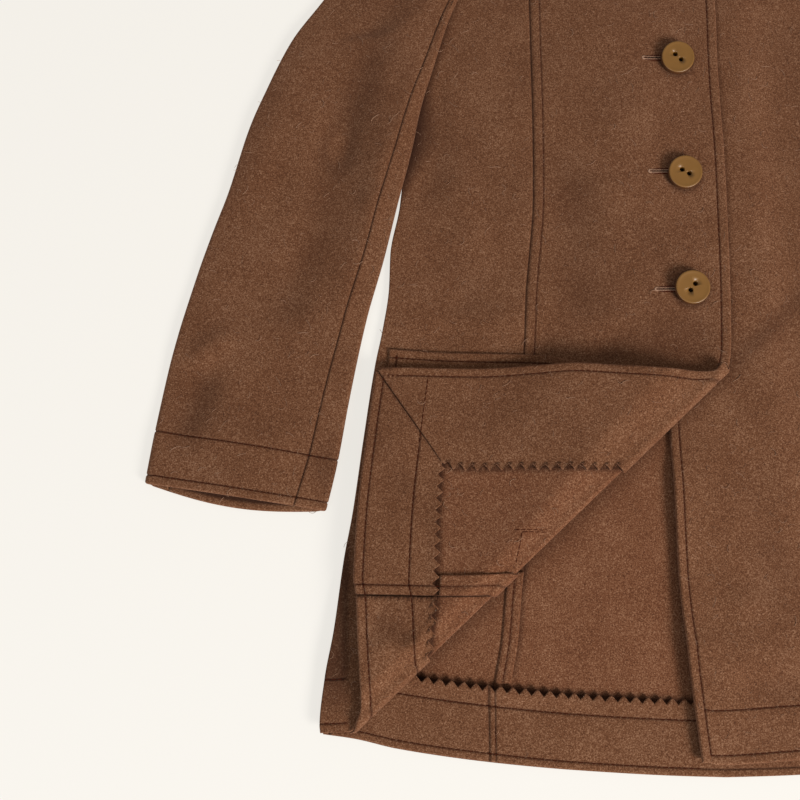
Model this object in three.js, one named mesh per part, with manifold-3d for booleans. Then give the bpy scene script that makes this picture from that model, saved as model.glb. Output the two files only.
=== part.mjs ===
// A woman's coat of heavy felted wool, laid on its back with its front up. The right front laps over
// the left and its lower corner is folded up and over, wrong side up, so that the inside of the back
// shows.
//
// Millimetres, +Z up. +X points to the wearer's left and +Y from the hem to the neck. While it is
// worked out, x is 0 at the centre front and y is 0 at the lowest point of the hem. Every panel is a
// wall of cloth: a place is given on its flat pattern, and an offset from its wrong side (0) to its
// right side (cloth).

import * as THREE from 'three';
import Module from 'manifold-3d';
import { mergeVertices } from 'three/addons/utils/BufferGeometryUtils.js';

const wasm = await Module();
wasm.setup();

// The cloth and how its layers lie
const cloth = 2.0; // thickness of the felted wool
const gap = 0.3; // between layers, and between pieces at a seam
const layer = cloth + gap; // what one more layer adds to a stack
const edgeRound = 0.6; // how far a cut or turned edge is rounded
const edgeInset = 1.2; // where that rounding starts
const slack = 0.2; // more room under a piece that lies on a sloping panel
const swell = 1.2; // how far the left front stands off the back between the seams
const hemStackTop = 102; // height up to which the turned hems raise the right front

// Turned hems and facings
const hemTurn = 47; // height of the hem that is turned up inside
const facingWidth = 76; // width of the front facing
const flapHemTurn = 61; // the same hem with its pinked edge, where the flap shows it
const backHemTurn = 53; // the hem inside the back, to its pinked edge
const toothPitch = 9.2; // pinked teeth
const toothDepth = 4.4;
const seamAllowance = 16; // of the front's princess seam
const backAllowanceWidth = 12; // of the back's, as pressed
const backAllowanceThick = 1.4;

// The fold: its axis on the panel, from the front edge to the hem, and the radius of the cloth's
// middle round it
const foldUpper = new THREE.Vector2(8.2, 302.2);
const foldLower = new THREE.Vector2(-276.3, 36.8);
const foldRadius = 2.5;
const foldEnd = Math.PI * foldRadius; // cloth that the turn takes up
const foldStops = [0.25, 0.5, 0.75].map((share) => share * foldEnd);
const underFold = -8.7; // how far the facing and hem run on below the fold
const hiddenTurn = -12; // below this the turned layers share one solid with the front
const foldSideHem = 20; // height of the hem that the fold takes up at the side seam

// Buttons
const buttonRadius = 14;
const buttonThick = 4;
const buttonHoleRadius = 2.1;
const buttonHoleSpacing = 6.6;
const buttonX = -3;
const buttons = [
  { name: 'button_1', y: 687, turn: -20 },
  { name: 'button_2', y: 582, turn: -44 },
  { name: 'button_3', y: 477, turn: -30 },
  { name: 'button_4', y: 377, turn: 53 },
];

// Patch pocket, on the right front
const pocketTop = 325;
const pocketFoot = 141;
const pocketOuter = { top: -248.8, foot: -262 };
const pocketInner = { top: -100, foot: -112 };

// Half width of the body at each height: side seam up to the underarm, then the armhole up to the shoulder
const bodyEdge = [
  { y: 30, x: 298.6 },
  { y: 38, x: 299.5 },
  { y: 71, x: 296.3 },
  { y: 106, x: 290 },
  { y: 160, x: 283 },
  { y: 194, x: 277 },
  { y: 253, x: 269 },
  { y: 314, x: 260 },
  { y: 344, x: 254 },
  { y: 379, x: 249 },
  { y: 408, x: 248 },
  { y: 452, x: 240 },
  { y: 505, x: 236 },
  { y: 560, x: 238 },
  { y: 600, x: 245 },
  { y: 612, x: 222 },
  { y: 635, x: 200 },
  { y: 670, x: 184 },
  { y: 705, x: 180 },
  { y: 757, x: 186 },
  { y: 800, x: 196 },
];

// Distance of the front and back princess seams from the middle
const frontSeam = [
  { y: 24, x: 176 },
  { y: 106, x: 171.6 },
  { y: 150, x: 166.5 },
  { y: 240, x: 152.5 },
  { y: 324, x: 140.5 },
  { y: 374, x: 137.5 },
  { y: 415, x: 133 },
  { y: 452, x: 129.6 },
  { y: 510, x: 128 },
  { y: 642, x: 127.6 },
  { y: 760, x: 131 },
  { y: 823, x: 135 },
];
const backSeam = [
  { y: 0, x: 177 },
  { y: 62, x: 170.5 },
  { y: 100, x: 163.5 },
  { y: 138, x: 159.5 },
  { y: 250, x: 141 },
  { y: 400, x: 119 },
  { y: 505, x: 112 },
  { y: 600, x: 117 },
  { y: 700, x: 126 },
  { y: 823, x: 136 },
];

// Front edges: the right one laps over the left one
const rightEdge = [
  { y: 24, x: 1.5 },
  { y: 50, x: 4 },
  { y: 113, x: 7 },
  { y: 157, x: 11.7 },
  { y: 189, x: 15 },
  { y: 276, x: 15.5 },
  { y: 300, x: 18.5 },
  { y: 323, x: 24.5 },
  { y: 362, x: 27 },
  { y: 406, x: 28.5 },
  { y: 485, x: 30.5 },
  { y: 579, x: 31 },
  { y: 641, x: 33 },
  { y: 730, x: 34 },
];
const leftEdge = [
  { y: 8, x: -18.7 },
  { y: 51, x: -22 },
  { y: 92, x: -24.8 },
  { y: 149, x: -27.4 },
  { y: 264, x: -26.8 },
  { y: 400, x: -29 },
  { y: 730, x: -33 },
];

// Hems, each as the height of the turned edge along the width
const rightHem = [
  { x: -299, y: 32 },
  { x: -275, y: 33 },
  { x: -256, y: 37.5 },
  { x: -237, y: 35.3 },
  { x: -210, y: 31.6 },
  { x: -176, y: 27.5 },
  { x: -163, y: 24.5 },
  { x: -115, y: 23.5 },
  { x: -50, y: 26 },
  { x: 3, y: 29.5 },
];
const leftHem = [
  { x: -19, y: 11.6 },
  { x: -8, y: 9.5 },
  { x: 53, y: 13 },
  { x: 120, y: 16 },
  { x: 176, y: 19 },
  { x: 240, y: 25 },
  { x: 299, y: 32 },
];
const backHem = [
  { x: 0, y: 0.5 },
  { x: 37, y: 1.5 },
  { x: 108, y: 5.4 },
  { x: 176, y: 11.7 },
  { x: 240, y: 20.4 },
  { x: 272, y: 27.3 },
  { x: 299, y: 31 },
];

// Shoulder and neck line of each panel, by the share of its width from the outer seam
const frontCentreTop = [
  { u: 0, y: 823 },
  { u: 0.15, y: 832 },
  { u: 0.3, y: 842 },
  { u: 0.34, y: 793 },
  { u: 0.45, y: 757 },
  { u: 0.65, y: 735 },
  { u: 1, y: 727 },
];
const sideTop = [
  { u: 0, y: 800 },
  { u: 1, y: 823 },
];
const backCentreTop = [
  { u: 0, y: 823 },
  { u: 0.1, y: 832 },
  { u: 0.19, y: 842 },
  { u: 0.26, y: 838 },
  { u: 0.5, y: 832 },
];

// Sleeve sections from the cuff to the shoulder. Each runs from the outer edge to the inner edge of
// the flattened tube. seam is how far the front seam lies in from the inner edge, radius how round
// the edges are, turned the thickness of the hem inside the cuff, lip how far the under layer reaches
// past the upper one.
const sleeveRows = [
  { outerX: -438.4, outerY: 218, innerX: -298.5, innerY: 196.5, seam: 24, radius: 3.3, turned: 2, lip: 8 },
  { outerX: -438.2, outerY: 219.2, innerX: -298.2, innerY: 197.7, seam: 24, radius: 3.3, turned: 2, lip: 8 },
  { outerX: -432.5, outerY: 260, innerX: -289.5, innerY: 237, seam: 22, radius: 3.3, turned: 2, lip: 0 },
  { outerX: -431.8, outerY: 265, innerX: -288.7, innerY: 241, seam: 22, radius: 3.1, turned: 0, lip: 0 },
  { outerX: -423.5, outerY: 314, innerX: -281.5, innerY: 284, seam: 20, radius: 2.4, turned: 0, lip: 0 },
  { outerX: -408, outerY: 378.6, innerX: -268, innerY: 352, seam: 17, radius: 2.3, turned: 0, lip: 0 },
  { outerX: -395, outerY: 423, innerX: -254, innerY: 404, seam: 16, radius: 2.3, turned: 0, lip: 0 },
  { outerX: -381.7, outerY: 463.7, innerX: -243, innerY: 450, seam: 15, radius: 2.3, turned: 0, lip: 0 },
  { outerX: -367, outerY: 519, innerX: -231.6, innerY: 497, seam: 13, radius: 2.3, turned: 0, lip: 0 },
  { outerX: -352.7, outerY: 557.5, innerX: -223, innerY: 539.5, seam: 10, radius: 2.3, turned: 0, lip: 0 },
  { outerX: -332.4, outerY: 603, innerX: -212, innerY: 577, seam: 8, radius: 2.3, turned: 0, lip: 0 },
  { outerX: -306, outerY: 643, innerX: -199, innerY: 620, seam: 6, radius: 2.3, turned: 0, lip: 0 },
  { outerX: -281, outerY: 682, innerX: -183, innerY: 660, seam: 5, radius: 2.3, turned: 0, lip: 0 },
  { outerX: -252, outerY: 725, innerX: -172, innerY: 705, seam: 5, radius: 2.3, turned: 0, lip: 0 },
  { outerX: -222, outerY: 768, innerX: -178, innerY: 757, seam: 5, radius: 2.3, turned: 0, lip: 0 },
  { outerX: -199, outerY: 800, innerX: -183, innerY: 789, seam: 5, radius: 2.3, turned: 0, lip: 0 },
];
const sleeveCrown = 1.2; // how far the middle of the upper layer rises
const sleeveBackSeam = 18; // back seam, in from the outer edge on the under layer
const sleeveRamp = 40; // length over which the sleeve climbs onto the body
const sleeveMargin = 12; // how far before the body it is fully up

// ---------------------------------------------------------------- tools

// The value of column `want` where column `by` is `at`, on a smooth line through the table's rows.
function look(table, by, want, at) {
  const last = table.length - 1;
  if (at <= table[0][by]) return table[0][want];
  if (at >= table[last][by]) return table[last][want];
  let i = 0;
  while (table[i + 1][by] < at) i += 1;
  const slope = (a, b) => (table[b][want] - table[a][want]) / (table[b][by] - table[a][by]);
  const span = table[i + 1][by] - table[i][by];
  const here = slope(i, i + 1);
  const ease = (a, b) => (a * b > 0 ? (2 * a * b) / (a + b) : 0);
  const before = i > 0 ? ease(slope(i - 1, i), here) : here;
  const after = i + 1 < last ? ease(here, slope(i + 1, i + 2)) : here;
  const t = (at - table[i][by]) / span;
  const rise = table[i + 1][want] - table[i][want];
  const bend = before * t * (1 - t) ** 2 - after * t * t * (1 - t);
  return table[i][want] + rise * t * t * (3 - 2 * t) + bend * span;
}

const straight = (table, by, want, at) => {
  const i = Math.max(1, table.findIndex((row) => row[by] >= at));
  const [a, b] = [table[i - 1], table[i]];
  return a[want] + ((b[want] - a[want]) * (at - a[by])) / (b[by] - a[by]);
};

const mix = (a, b, share) => a + (b - a) * share;
const spread = (from, to, count) => Array.from({ length: count }, (_, i) => mix(from, to, i / (count - 1)));

// 1 at and before `full`, 0 at and past `none`, eased between them.
function fade(value, full, none) {
  const t = Math.min(1, Math.max(0, (value - none) / (full - none)));
  return t * t * (3 - 2 * t);
}

// Where a falling or rising function of one number reaches a value.
function solve(from, to, goal, valueAt) {
  let [low, high] = [from, to];
  const rising = valueAt(high) > valueAt(low);
  for (let step = 0; step < 40; step += 1) {
    const middle = (low + high) / 2;
    if (valueAt(middle) < goal === rising) low = middle;
    else high = middle;
  }
  return (low + high) / 2;
}

// A wall of cloth, made of ribs that are joined in order. Each point of a rib is a pair of places,
// one on the inner and one on the outer side of the cloth.
class Wall {
  constructor(place) {
    this.place = place;
    this.inner = [];
    this.outer = [];
    this.triangles = [];
  }

  addPair(inner, outer) {
    this.inner.push(inner);
    this.outer.push(outer);
    return this.inner.length - 1;
  }

  // Points of the flat pattern: low and high are the offsets of the two sides, rim marks a rounded edge.
  rib(points) {
    return points.map(({ x, y, low = 0, high = cloth, rim = false }) => {
      const round = rim ? edgeRound : 0;
      return this.addPair(this.place(x, y, low + round), this.place(x, y, high - round));
    });
  }

  join(a, b) {
    let i = 0;
    let j = 0;
    while (i < a.length - 1 || j < b.length - 1) {
      const nextA = i < a.length - 1 ? (i + 1) / (a.length - 1) : Infinity;
      const nextB = j < b.length - 1 ? (j + 1) / (b.length - 1) : Infinity;
      if (nextA <= nextB) {
        this.triangles.push([a[i], b[j], a[i + 1]]);
        i += 1;
      } else {
        this.triangles.push([a[i], b[j], b[j + 1]]);
        j += 1;
      }
    }
  }

  joinAll(ribs) {
    for (let i = 1; i < ribs.length; i += 1) this.join(ribs[i - 1], ribs[i]);
  }

  geometry() {
    const count = this.inner.length;
    const faces = [];
    const edges = new Map();
    for (const [a, b, c] of this.triangles) {
      faces.push([a, b, c], [c + count, b + count, a + count]);
      for (const [from, to] of [[a, b], [b, c], [c, a]]) {
        if (!edges.delete(`${to},${from}`)) edges.set(`${from},${to}`, [from, to]);
      }
    }
    for (const [from, to] of edges.values()) {
      faces.push([from, from + count, to + count], [from, to + count, to]);
    }
    const places = [...this.outer, ...this.inner].map((p) => new THREE.Vector3(...p));
    const volume = faces.reduce(
      (sum, [a, b, c]) => sum + places[a].dot(places[b].clone().cross(places[c])), 0);
    const shape = new THREE.BufferGeometry().setFromPoints(places);
    shape.setIndex(faces.flatMap((face) => (volume > 0 ? face : [face[0], face[2], face[1]])));
    return shape;
  }
}

// ---------------------------------------------------------------- how the layers lie

const foldAlong = foldLower.clone().sub(foldUpper).normalize();
const foldAcross = new THREE.Vector2(-foldAlong.y, foldAlong.x); // points out of the panel, past the fold

const pastFold = (x, y) => (x - foldUpper.x) * foldAcross.x + (y - foldUpper.y) * foldAcross.y;
const sideX = (y) => look(bodyEdge, 'y', 'x', y);

// The left front stands off the back a little in the middle, and lies on it at the side, hem and shoulder.
function swellAt(x, y) {
  return swell * fade(Math.abs(x - 130), 20, 80) * fade(y, 120, 60) * fade(y, 560, 760);
}

// Height of the wrong side of each front above the floor
function leftBase(x, y) {
  const backHemHere = fade(y, 92, 120);
  const turnedHem = fade(y - look(leftHem, 'x', 'y', x), hemTurn + 14, hemTurn + 54);
  const facing = fade(x - look(leftEdge, 'y', 'x', y), facingWidth + 4, facingWidth + 34);
  return layer + layer * backHemHere + layer * Math.max(turnedHem, facing) + swellAt(x, y);
}

// The right front slopes down from the centre front, where it lies on the left one, to its side.
function rightBase(x, y) {
  const hems = fade(y, hemStackTop, hemStackTop + 140);
  const centre = fade(x, -54, -235);
  return layer + 2 * layer * hems + 3 * layer * centre * (1 - hems / 3);
}

const placeBack = (x, y, offset) => [x, y, offset];
const placeLeft = (x, y, offset) => [x, y, leftBase(x, y) + offset];

// The right front is flat up to the fold's axis, then turns round it and lies back over itself.
function placeRight(x, y, offset) {
  const past = pastFold(x, y);
  if (past <= 0) return [x, y, rightBase(x, y) + offset];
  const outside = foldRadius + cloth / 2; // radius of the wrong side, which is on the outside
  const radius = outside - offset;
  const turn = Math.min(past / foldRadius, Math.PI);
  const back = Math.max(0, past - foldEnd);
  const reach = radius * Math.sin(turn) - back - past;
  const px = x + foldAcross.x * reach;
  const py = y + foldAcross.y * reach;
  const baseX = turn < Math.PI ? x - foldAcross.x * past : px;
  const baseY = turn < Math.PI ? y - foldAcross.y * past : py;
  return [px, py, rightBase(baseX, baseY) + outside - radius * Math.cos(turn)];
}

// ---------------------------------------------------------------- panels

const plainColumns = (shares) => shares.map((u) => ({ u }));
const freeLeft = [{ u: 0, rim: true }, { u: 0, inset: edgeInset }];
const freeRight = [{ u: 1, inset: -edgeInset }, { u: 1, rim: true }];

// One rib of a panel: `levelOf(column)` is its height there, and the columns share out the width at
// that height.
function ribPoints(columns, left, right, levelOf, extra = () => ({})) {
  return columns.map((column) => {
    const y = levelOf(column);
    const x = mix(left(y), right(y), column.u) + (column.inset ?? 0);
    return { x, y, rim: column.rim, ...extra(x, y, column) };
  });
}

// Ribs from the top of a panel to its hem. `above` lists heights over the hem line.
function panelLevels(top, hem, above) {
  const upper = (share) => (column, x) => mix(top(column), hem(x) + above[0], share);
  return [
    ...panelShares.map((share) => ({ rim: share === 0, at: upper(share) })),
    ...above.slice(1).map((step) => ({ rim: step === 0, at: (column, x) => hem(x) + step })),
  ];
}

function flatPanel({ place, columns, left, right, top, hem, above, extra }) {
  const wall = new Wall(place);
  const xNear = (column) => mix(left(hem(0)), right(hem(0)), column.u);
  const ribs = panelLevels(top, hem, above).map((level) => {
    const points = ribPoints(columns, left, right, (column) => level.at(column, xNear(column)), extra);
    return wall.rib(points.map((point) => ({ ...point, rim: point.rim || level.rim })));
  });
  wall.joinAll(ribs);
  return wall.geometry();
}

const topOf = (table) => (column) => straight(table, 'u', 'y', column.u);
const mirrored = (table) => (column) => straight(table, 'u', 'y', Math.min(column.u, 1 - column.u));

// Heights of the ribs over a plain hem's edge, and over a hem that is turned up in the same solid.
// Those above share out the rest of the panel.
const hemHeights = [60, 30, edgeInset, 0];
const turnedHeights = [100, 51, 46, 23, edgeInset, 0];
const panelShares = [0, 0.08, 0.17, 0.27, 0.37, 0.47, 0.57, 0.67, 0.76, 0.84, 0.91, 0.96, 1];

// Back: three panels flat on the floor
function backCentre() {
  const hem = (x) => look(backHem, 'x', 'y', Math.abs(x));
  return flatPanel({
    place: placeBack,
    columns: plainColumns([0, 0.1, 0.19, 0.26, 0.38, 0.5, 0.62, 0.74, 0.81, 0.9, 1]),
    left: (y) => -look(backSeam, 'y', 'x', y) + gap / 2,
    right: (y) => look(backSeam, 'y', 'x', y) - gap / 2,
    top: mirrored(backCentreTop),
    hem,
    above: hemHeights,
  });
}

function backSide() {
  return flatPanel({
    place: placeBack,
    columns: [...freeLeft, ...plainColumns([0.33, 0.66, 1])],
    left: (y) => -sideX(y) + 1.5,
    right: (y) => -look(backSeam, 'y', 'x', y) - gap / 2,
    top: topOf(sideTop),
    hem: (x) => look(backHem, 'x', 'y', Math.abs(x)),
    above: hemHeights,
  });
}

// Left front, under the right one. Its turned facing and hem are hidden, and share its solid.
function frontLeftCentre() {
  const hem = (x) => look(leftHem, 'x', 'y', x);
  const turned = (x, y) => x < look(leftEdge, 'y', 'x', y) + facingWidth || y < hem(x) + hemTurn;
  return flatPanel({
    place: placeLeft,
    columns: [...freeLeft, ...plainColumns([0.2, 0.35, 0.5, 0.55, 0.66, 0.7, 0.85, 1])],
    left: (y) => look(leftEdge, 'y', 'x', y),
    right: (y) => look(frontSeam, 'y', 'x', y) - gap / 2,
    top: (column) => straight(frontCentreTop, 'u', 'y', 1 - column.u),
    hem,
    above: turnedHeights,
    extra: (x, y) => ({ low: turned(x, y) ? -layer : 0 }),
  });
}

function frontLeftSide() {
  const hem = (x) => look(leftHem, 'x', 'y', x);
  return flatPanel({
    place: placeLeft,
    columns: [...plainColumns([0, 0.33, 0.66]), ...freeRight],
    left: (y) => look(frontSeam, 'y', 'x', y) + gap / 2,
    right: sideX,
    top: (column) => straight(sideTop, 'u', 'y', 1 - column.u),
    hem,
    above: turnedHeights,
    extra: (x, y) => ({ low: y < hem(x) + hemTurn ? -layer : 0 }),
  });
}

// ---------------------------------------------------------------- right front and its fold

const rightSeamX = (y) => -look(frontSeam, 'y', 'x', y);
const rightEdgeX = (y) => look(rightEdge, 'y', 'x', y);
const rightHemY = (x) => look(rightHem, 'x', 'y', x);

// Points on the pattern's edges that lie `past` the fold's axis
const onUpright = (xAt, past) => {
  const y = solve(20, 330, past, (at) => pastFold(xAt(at), at));
  return { x: xAt(y), y };
};
const onHem = (past) => {
  const x = solve(-299, 3, past, (at) => pastFold(at, rightHemY(at)));
  return { x, y: rightHemY(x) };
};

// A point moved along the fold, so that it stays as far past the axis
const alongFold = (point, step) => ({
  x: point.x + foldAlong.x * step,
  y: point.y + foldAlong.y * step,
});

// A rib parallel to the fold, from one end point to the other. Insets are measured along it.
function foldRib(from, to, columns, extra = () => ({})) {
  const length = Math.hypot(to.x - from.x, to.y - from.y);
  return columns.map((column) => {
    const share = column.u + (column.inset ?? 0) / length;
    const [x, y] = [mix(from.x, to.x, share), mix(from.y, to.y, share)];
    return { x, y, rim: column.rim, ...extra(x, y, column) };
  });
}

const hemCorner = { x: rightSeamX(27), y: rightHemY(-176) }; // princess seam at the hem
const flapCorner = { x: 1.8, y: 29.4 }; // front edge at the hem
const hemCornerPast = pastFold(hemCorner.x, hemCorner.y);

// Ribs before the fold's axis and past it, alike on both sides of the princess seam
const beforeFold = [-60, -38, -24, hiddenTurn, underFold - gap, 0];
const afterFold = [...foldStops, foldEnd, 20, 40, 60];
const flapCornerPast = pastFold(flapCorner.x, flapCorner.y);

function frontRightCentre() {
  const wall = new Wall(placeRight);
  const left = (y) => rightSeamX(y) + gap / 2;
  const columns = [...plainColumns([0, 0.15, 0.3, 0.34, 0.45, 0.51, 0.65, 0.82]), ...freeRight];
  const heightAt = (column, past) =>
    solve(20, 330, past, (y) => pastFold(mix(left(y), rightEdgeX(y), column.u) + (column.inset ?? 0), y));
  const turned = (x, y) => x > rightEdgeX(y) - facingWidth && pastFold(x, y) < hiddenTurn + 1;
  const low = (x, y) => ({ low: turned(x, y) ? -layer : 0 });
  const ribs = [];
  for (const share of panelShares) {
    const level = (column) => mix(topOf(frontCentreTop)(column), heightAt(column, beforeFold[0]), share);
    const points = ribPoints(columns, left, rightEdgeX, level, low);
    ribs.push(wall.rib(points.map((point) => ({ ...point, rim: point.rim || share === 0 }))));
  }
  for (const past of beforeFold.slice(1)) {
    ribs.push(wall.rib(ribPoints(columns, left, rightEdgeX, (column) => heightAt(column, past), low)));
  }
  for (const past of [...afterFold, hemCornerPast]) {
    ribs.push(wall.rib(foldRib(onUpright(left, past), onUpright(rightEdgeX, past), columns)));
  }
  const flapColumns = [...freeLeft, ...columns.slice(1)];
  for (const past of [hemCornerPast + edgeInset, 100, 125, 150, 172, flapCornerPast - 5]) {
    ribs.push(wall.rib(foldRib(onHem(past), onUpright(rightEdgeX, past), flapColumns)));
  }
  ribs.push(wall.rib([{ ...flapCorner, rim: true }]));
  wall.joinAll(ribs);
  return wall.geometry();
}

function frontRightSide() {
  const wall = new Wall(placeRight);
  const left = (y) => -sideX(y);
  const right = (y) => rightSeamX(y) - gap / 2;
  const foldFoot = onHem(0);
  const footShare = (foldFoot.x - left(foldFoot.y)) / (right(foldFoot.y) - left(foldFoot.y));
  const turning = [footShare, 0.35, 0.55, 0.78, 1];
  const columns = [...freeLeft, ...plainColumns(turning)];
  const hemSteps = [84, 51, 46, 24, edgeInset, 0];
  const xAt = (column, y) => mix(left(y), right(y), column.u) + (column.inset ?? 0);
  const crosses = (column) => column.u >= footShare;
  const low = (x, y) => {
    const height = y - rightHemY(x);
    const turned = height > foldSideHem && height < hemTurn && pastFold(x, y) < hiddenTurn + 1;
    return { low: turned ? -layer : 0 };
  };
  const stepLevel = (column, i) => {
    const hemY = rightHemY(xAt(column, 33));
    if (!crosses(column)) return hemY + hemSteps[i];
    const atFold = solve(20, 330, 0, (y) => pastFold(xAt(column, y), y));
    const y = solve(20, 420, beforeFold[i], (at) => pastFold(xAt(column, at), at));
    return i === beforeFold.length - 1 ? atFold : y;
  };
  const ribs = [];
  for (const share of panelShares) {
    const level = (column) => mix(topOf(sideTop)(column), stepLevel(column, 0), share);
    const points = ribPoints(columns, left, right, level, low);
    ribs.push(wall.rib(points.map((point) => ({ ...point, rim: point.rim || share === 0 }))));
  }
  for (let i = 1; i < hemSteps.length; i += 1) {
    const points = ribPoints(columns, left, right, (column) => stepLevel(column, i), low);
    const onRim = (column) => i === hemSteps.length - 1 && !crosses(column);
    ribs.push(wall.rib(points.map((point, k) => ({ ...point, rim: point.rim || onRim(columns[k]) }))));
  }
  wall.joinAll(ribs);
  const atFold = ribs[ribs.length - 1].slice(freeLeft.length);
  const flapColumns = [...freeLeft, ...plainColumns([0.25, 0.5, 0.75, 1])];
  const flap = [...afterFold, hemCornerPast - 4].map((past) =>
    wall.rib(foldRib(onHem(past), onUpright(right, past), flapColumns)));
  const tip = wall.rib([{ x: hemCorner.x - gap, y: hemCorner.y, rim: true }]);
  wall.joinAll([atFold, ...flap, tip]);
  return wall.geometry();
}

// ---------------------------------------------------------------- turned hems, facing, allowances

// Distance of a pinked edge from its middle line, at a length along it counted in half teeth
const tooth = (n) => (Math.abs((((n % 2) + 2) % 2) - 1) - 0.5) * toothDepth;
const onWrongSide = { low: -layer - slack, high: -gap - slack };

// The facing on the flap: from the front edge to its pinked edge, with a mitre at the corner
function frontRightFacing() {
  const wall = new Wall(placeRight);
  const pinkX = (y) => rightEdgeX(y) - facingWidth;
  const mitreTop = { x: pinkX(86), y: 86 };
  const mitrePast = pastFold(mitreTop.x, mitreTop.y);
  const columns = [...plainColumns([0, 0.5]), ...freeRight];
  const ribs = [];
  const axisY = onUpright(pinkX, 0).y;
  const teeth = Math.round((2 * (axisY - mitreTop.y)) / toothPitch);
  const halfTooth = (axisY - mitreTop.y) / teeth;
  const flat = spread(axisY, mitreTop.y, teeth + 1).filter((y) => pastFold(pinkX(y), y) > foldEnd + 1);
  const onRoll = [underFold, underFold / 2, 0, ...foldStops, foldEnd].map((past) => onUpright(pinkX, past).y);
  for (const y of [...onRoll, ...flat]) {
    const past = pastFold(pinkX(y), y);
    const cut = y === mitreTop.y ? 0 : tooth((axisY - y) / halfTooth);
    const from = alongFold({ x: pinkX(y), y }, cut);
    ribs.push(wall.rib(foldRib(from, onUpright(rightEdgeX, past), columns, () => onWrongSide)));
  }
  for (const past of spread(mitrePast, flapCornerPast - 8, 4).slice(1)) {
    const share = (past - mitrePast) / (flapCornerPast - mitrePast);
    const from = { x: mix(mitreTop.x, flapCorner.x, share) + gap, y: mix(mitreTop.y, flapCorner.y, share) };
    ribs.push(wall.rib(foldRib(from, onUpright(rightEdgeX, past), columns, () => onWrongSide)));
  }
  ribs.push(wall.rib([{ x: flapCorner.x, y: flapCorner.y + 1, rim: true, ...onWrongSide }]));
  wall.joinAll(ribs);
  return wall.geometry();
}

// A rib that runs up from the hem, rounded at the hem
const hemRib = (hemPoint, topPoint, middle = 0.75) => [
  { ...hemPoint, rim: true, ...onWrongSide },
  { x: hemPoint.x, y: hemPoint.y + edgeInset, ...onWrongSide },
  { x: mix(hemPoint.x, topPoint.x, middle), y: mix(hemPoint.y, topPoint.y, middle), ...onWrongSide },
  { ...topPoint, ...onWrongSide },
];

// The turned hem of the flap's centre panel, from the princess seam to the mitre
function frontRightHemCentre() {
  const wall = new Wall(placeRight);
  const startHem = rightSeamX(28) + gap;
  const startTop = rightSeamX(88) + gap;
  const mitreTop = { x: rightEdgeX(86) - facingWidth - gap, y: 86 };
  const halves = Math.round((2 * (mitreTop.x - startTop)) / toothPitch);
  const ribs = spread(0, 1, halves + 1).map((share, n) => {
    const x = mix(startHem, mitreTop.x, share);
    const topX = mix(startTop, mitreTop.x, share);
    const y = n === halves ? mitreTop.y : rightHemY(topX) + flapHemTurn - tooth(n);
    return wall.rib(hemRib({ x, y: rightHemY(x) }, { x: topX, y }));
  });
  for (const share of [0.3, 0.6, 0.85]) {
    const x = mix(mitreTop.x, flapCorner.x - 1, share);
    ribs.push(wall.rib(hemRib({ x, y: rightHemY(x) }, { x, y: mix(mitreTop.y, flapCorner.y, share) - gap })));
  }
  ribs.push(wall.rib([{ x: flapCorner.x - 1.2, y: flapCorner.y - 0.2, rim: true, ...onWrongSide }]));
  wall.joinAll(ribs);
  return wall.geometry();
}

// The turned hem of the flap's side panel, which goes round the fold
function frontRightHemSide() {
  const wall = new Wall(placeRight);
  const pinkY = (x) => rightHemY(x) + flapHemTurn;
  const seam = (y) => rightSeamX(y) - gap;
  const onPink = (past) => {
    const x = solve(-320, 3, past, (at) => pastFold(at, pinkY(at)));
    return { x, y: pinkY(x) };
  };
  const columns = [...freeLeft, ...plainColumns([0.7, 1])];
  const seamTop = { x: seam(90), y: pinkY(seam(90)) };
  const seamTopPast = pastFold(seamTop.x, seamTop.y);
  const teeth = Math.round(seamTopPast / ((toothPitch / 2) * foldAcross.x));
  const flat = spread(0, seamTopPast, teeth + 1).filter((past) => past > foldEnd + 1);
  const ribs = [underFold, underFold / 2, 0, ...foldStops, foldEnd, ...flat].map((past) => {
    const cut = past === seamTopPast ? 0 : tooth((past * teeth) / seamTopPast);
    return wall.rib(foldRib(onHem(past), alongFold(onPink(past), cut), columns, () => onWrongSide));
  });
  for (const past of spread(seamTopPast, hemCornerPast - 5, 4).slice(1)) {
    ribs.push(wall.rib(foldRib(onHem(past), onUpright(seam, past), columns, () => onWrongSide)));
  }
  ribs.push(wall.rib([{ x: hemCorner.x - 2 * gap, y: hemCorner.y + 0.5, rim: true, ...onWrongSide }]));
  wall.joinAll(ribs);
  return wall.geometry();
}

// The princess seam's allowances on the flap, both pressed to the centre front
function frontRightAllowance() {
  const wall = new Wall(placeRight);
  const start = foldEnd * 0.55;
  const foot = rightHemY(-170) + flapHemTurn + toothDepth / 2 + gap;
  const inner = (y) => rightSeamX(y) + gap;
  const outer = (y) => rightSeamX(y) + seamAllowance;
  const columns = plainColumns([0, 0.5, 1]);
  const ribs = [start, foldEnd * 0.75, foldEnd, 14].map((past) =>
    wall.rib(foldRib(onUpright(inner, past), onUpright(outer, past), columns, () => onWrongSide)));
  ribs.push(wall.rib(ribPoints(columns, inner, outer, () => foot, () => onWrongSide)));
  wall.joinAll(ribs);
  return wall.geometry();
}

// The hem turned up inside the back, flat on it, with a pinked edge
function backHemTurned(from, to) {
  const wall = new Wall(placeBack);
  const hemY = (x) => look(backHem, 'x', 'y', Math.abs(x));
  const halves = Math.round((2 * (to - from)) / toothPitch);
  const onBack = { low: layer, high: layer + cloth };
  const ribs = spread(from, to, halves + 1).map((x, n) =>
    wall.rib([
      { x, y: hemY(x), rim: true, ...onBack },
      { x, y: hemY(x) + edgeInset, ...onBack },
      { x, y: hemY(x) + backHemTurn + tooth(n), ...onBack },
    ]));
  wall.joinAll(ribs);
  return wall.geometry();
}

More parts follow.
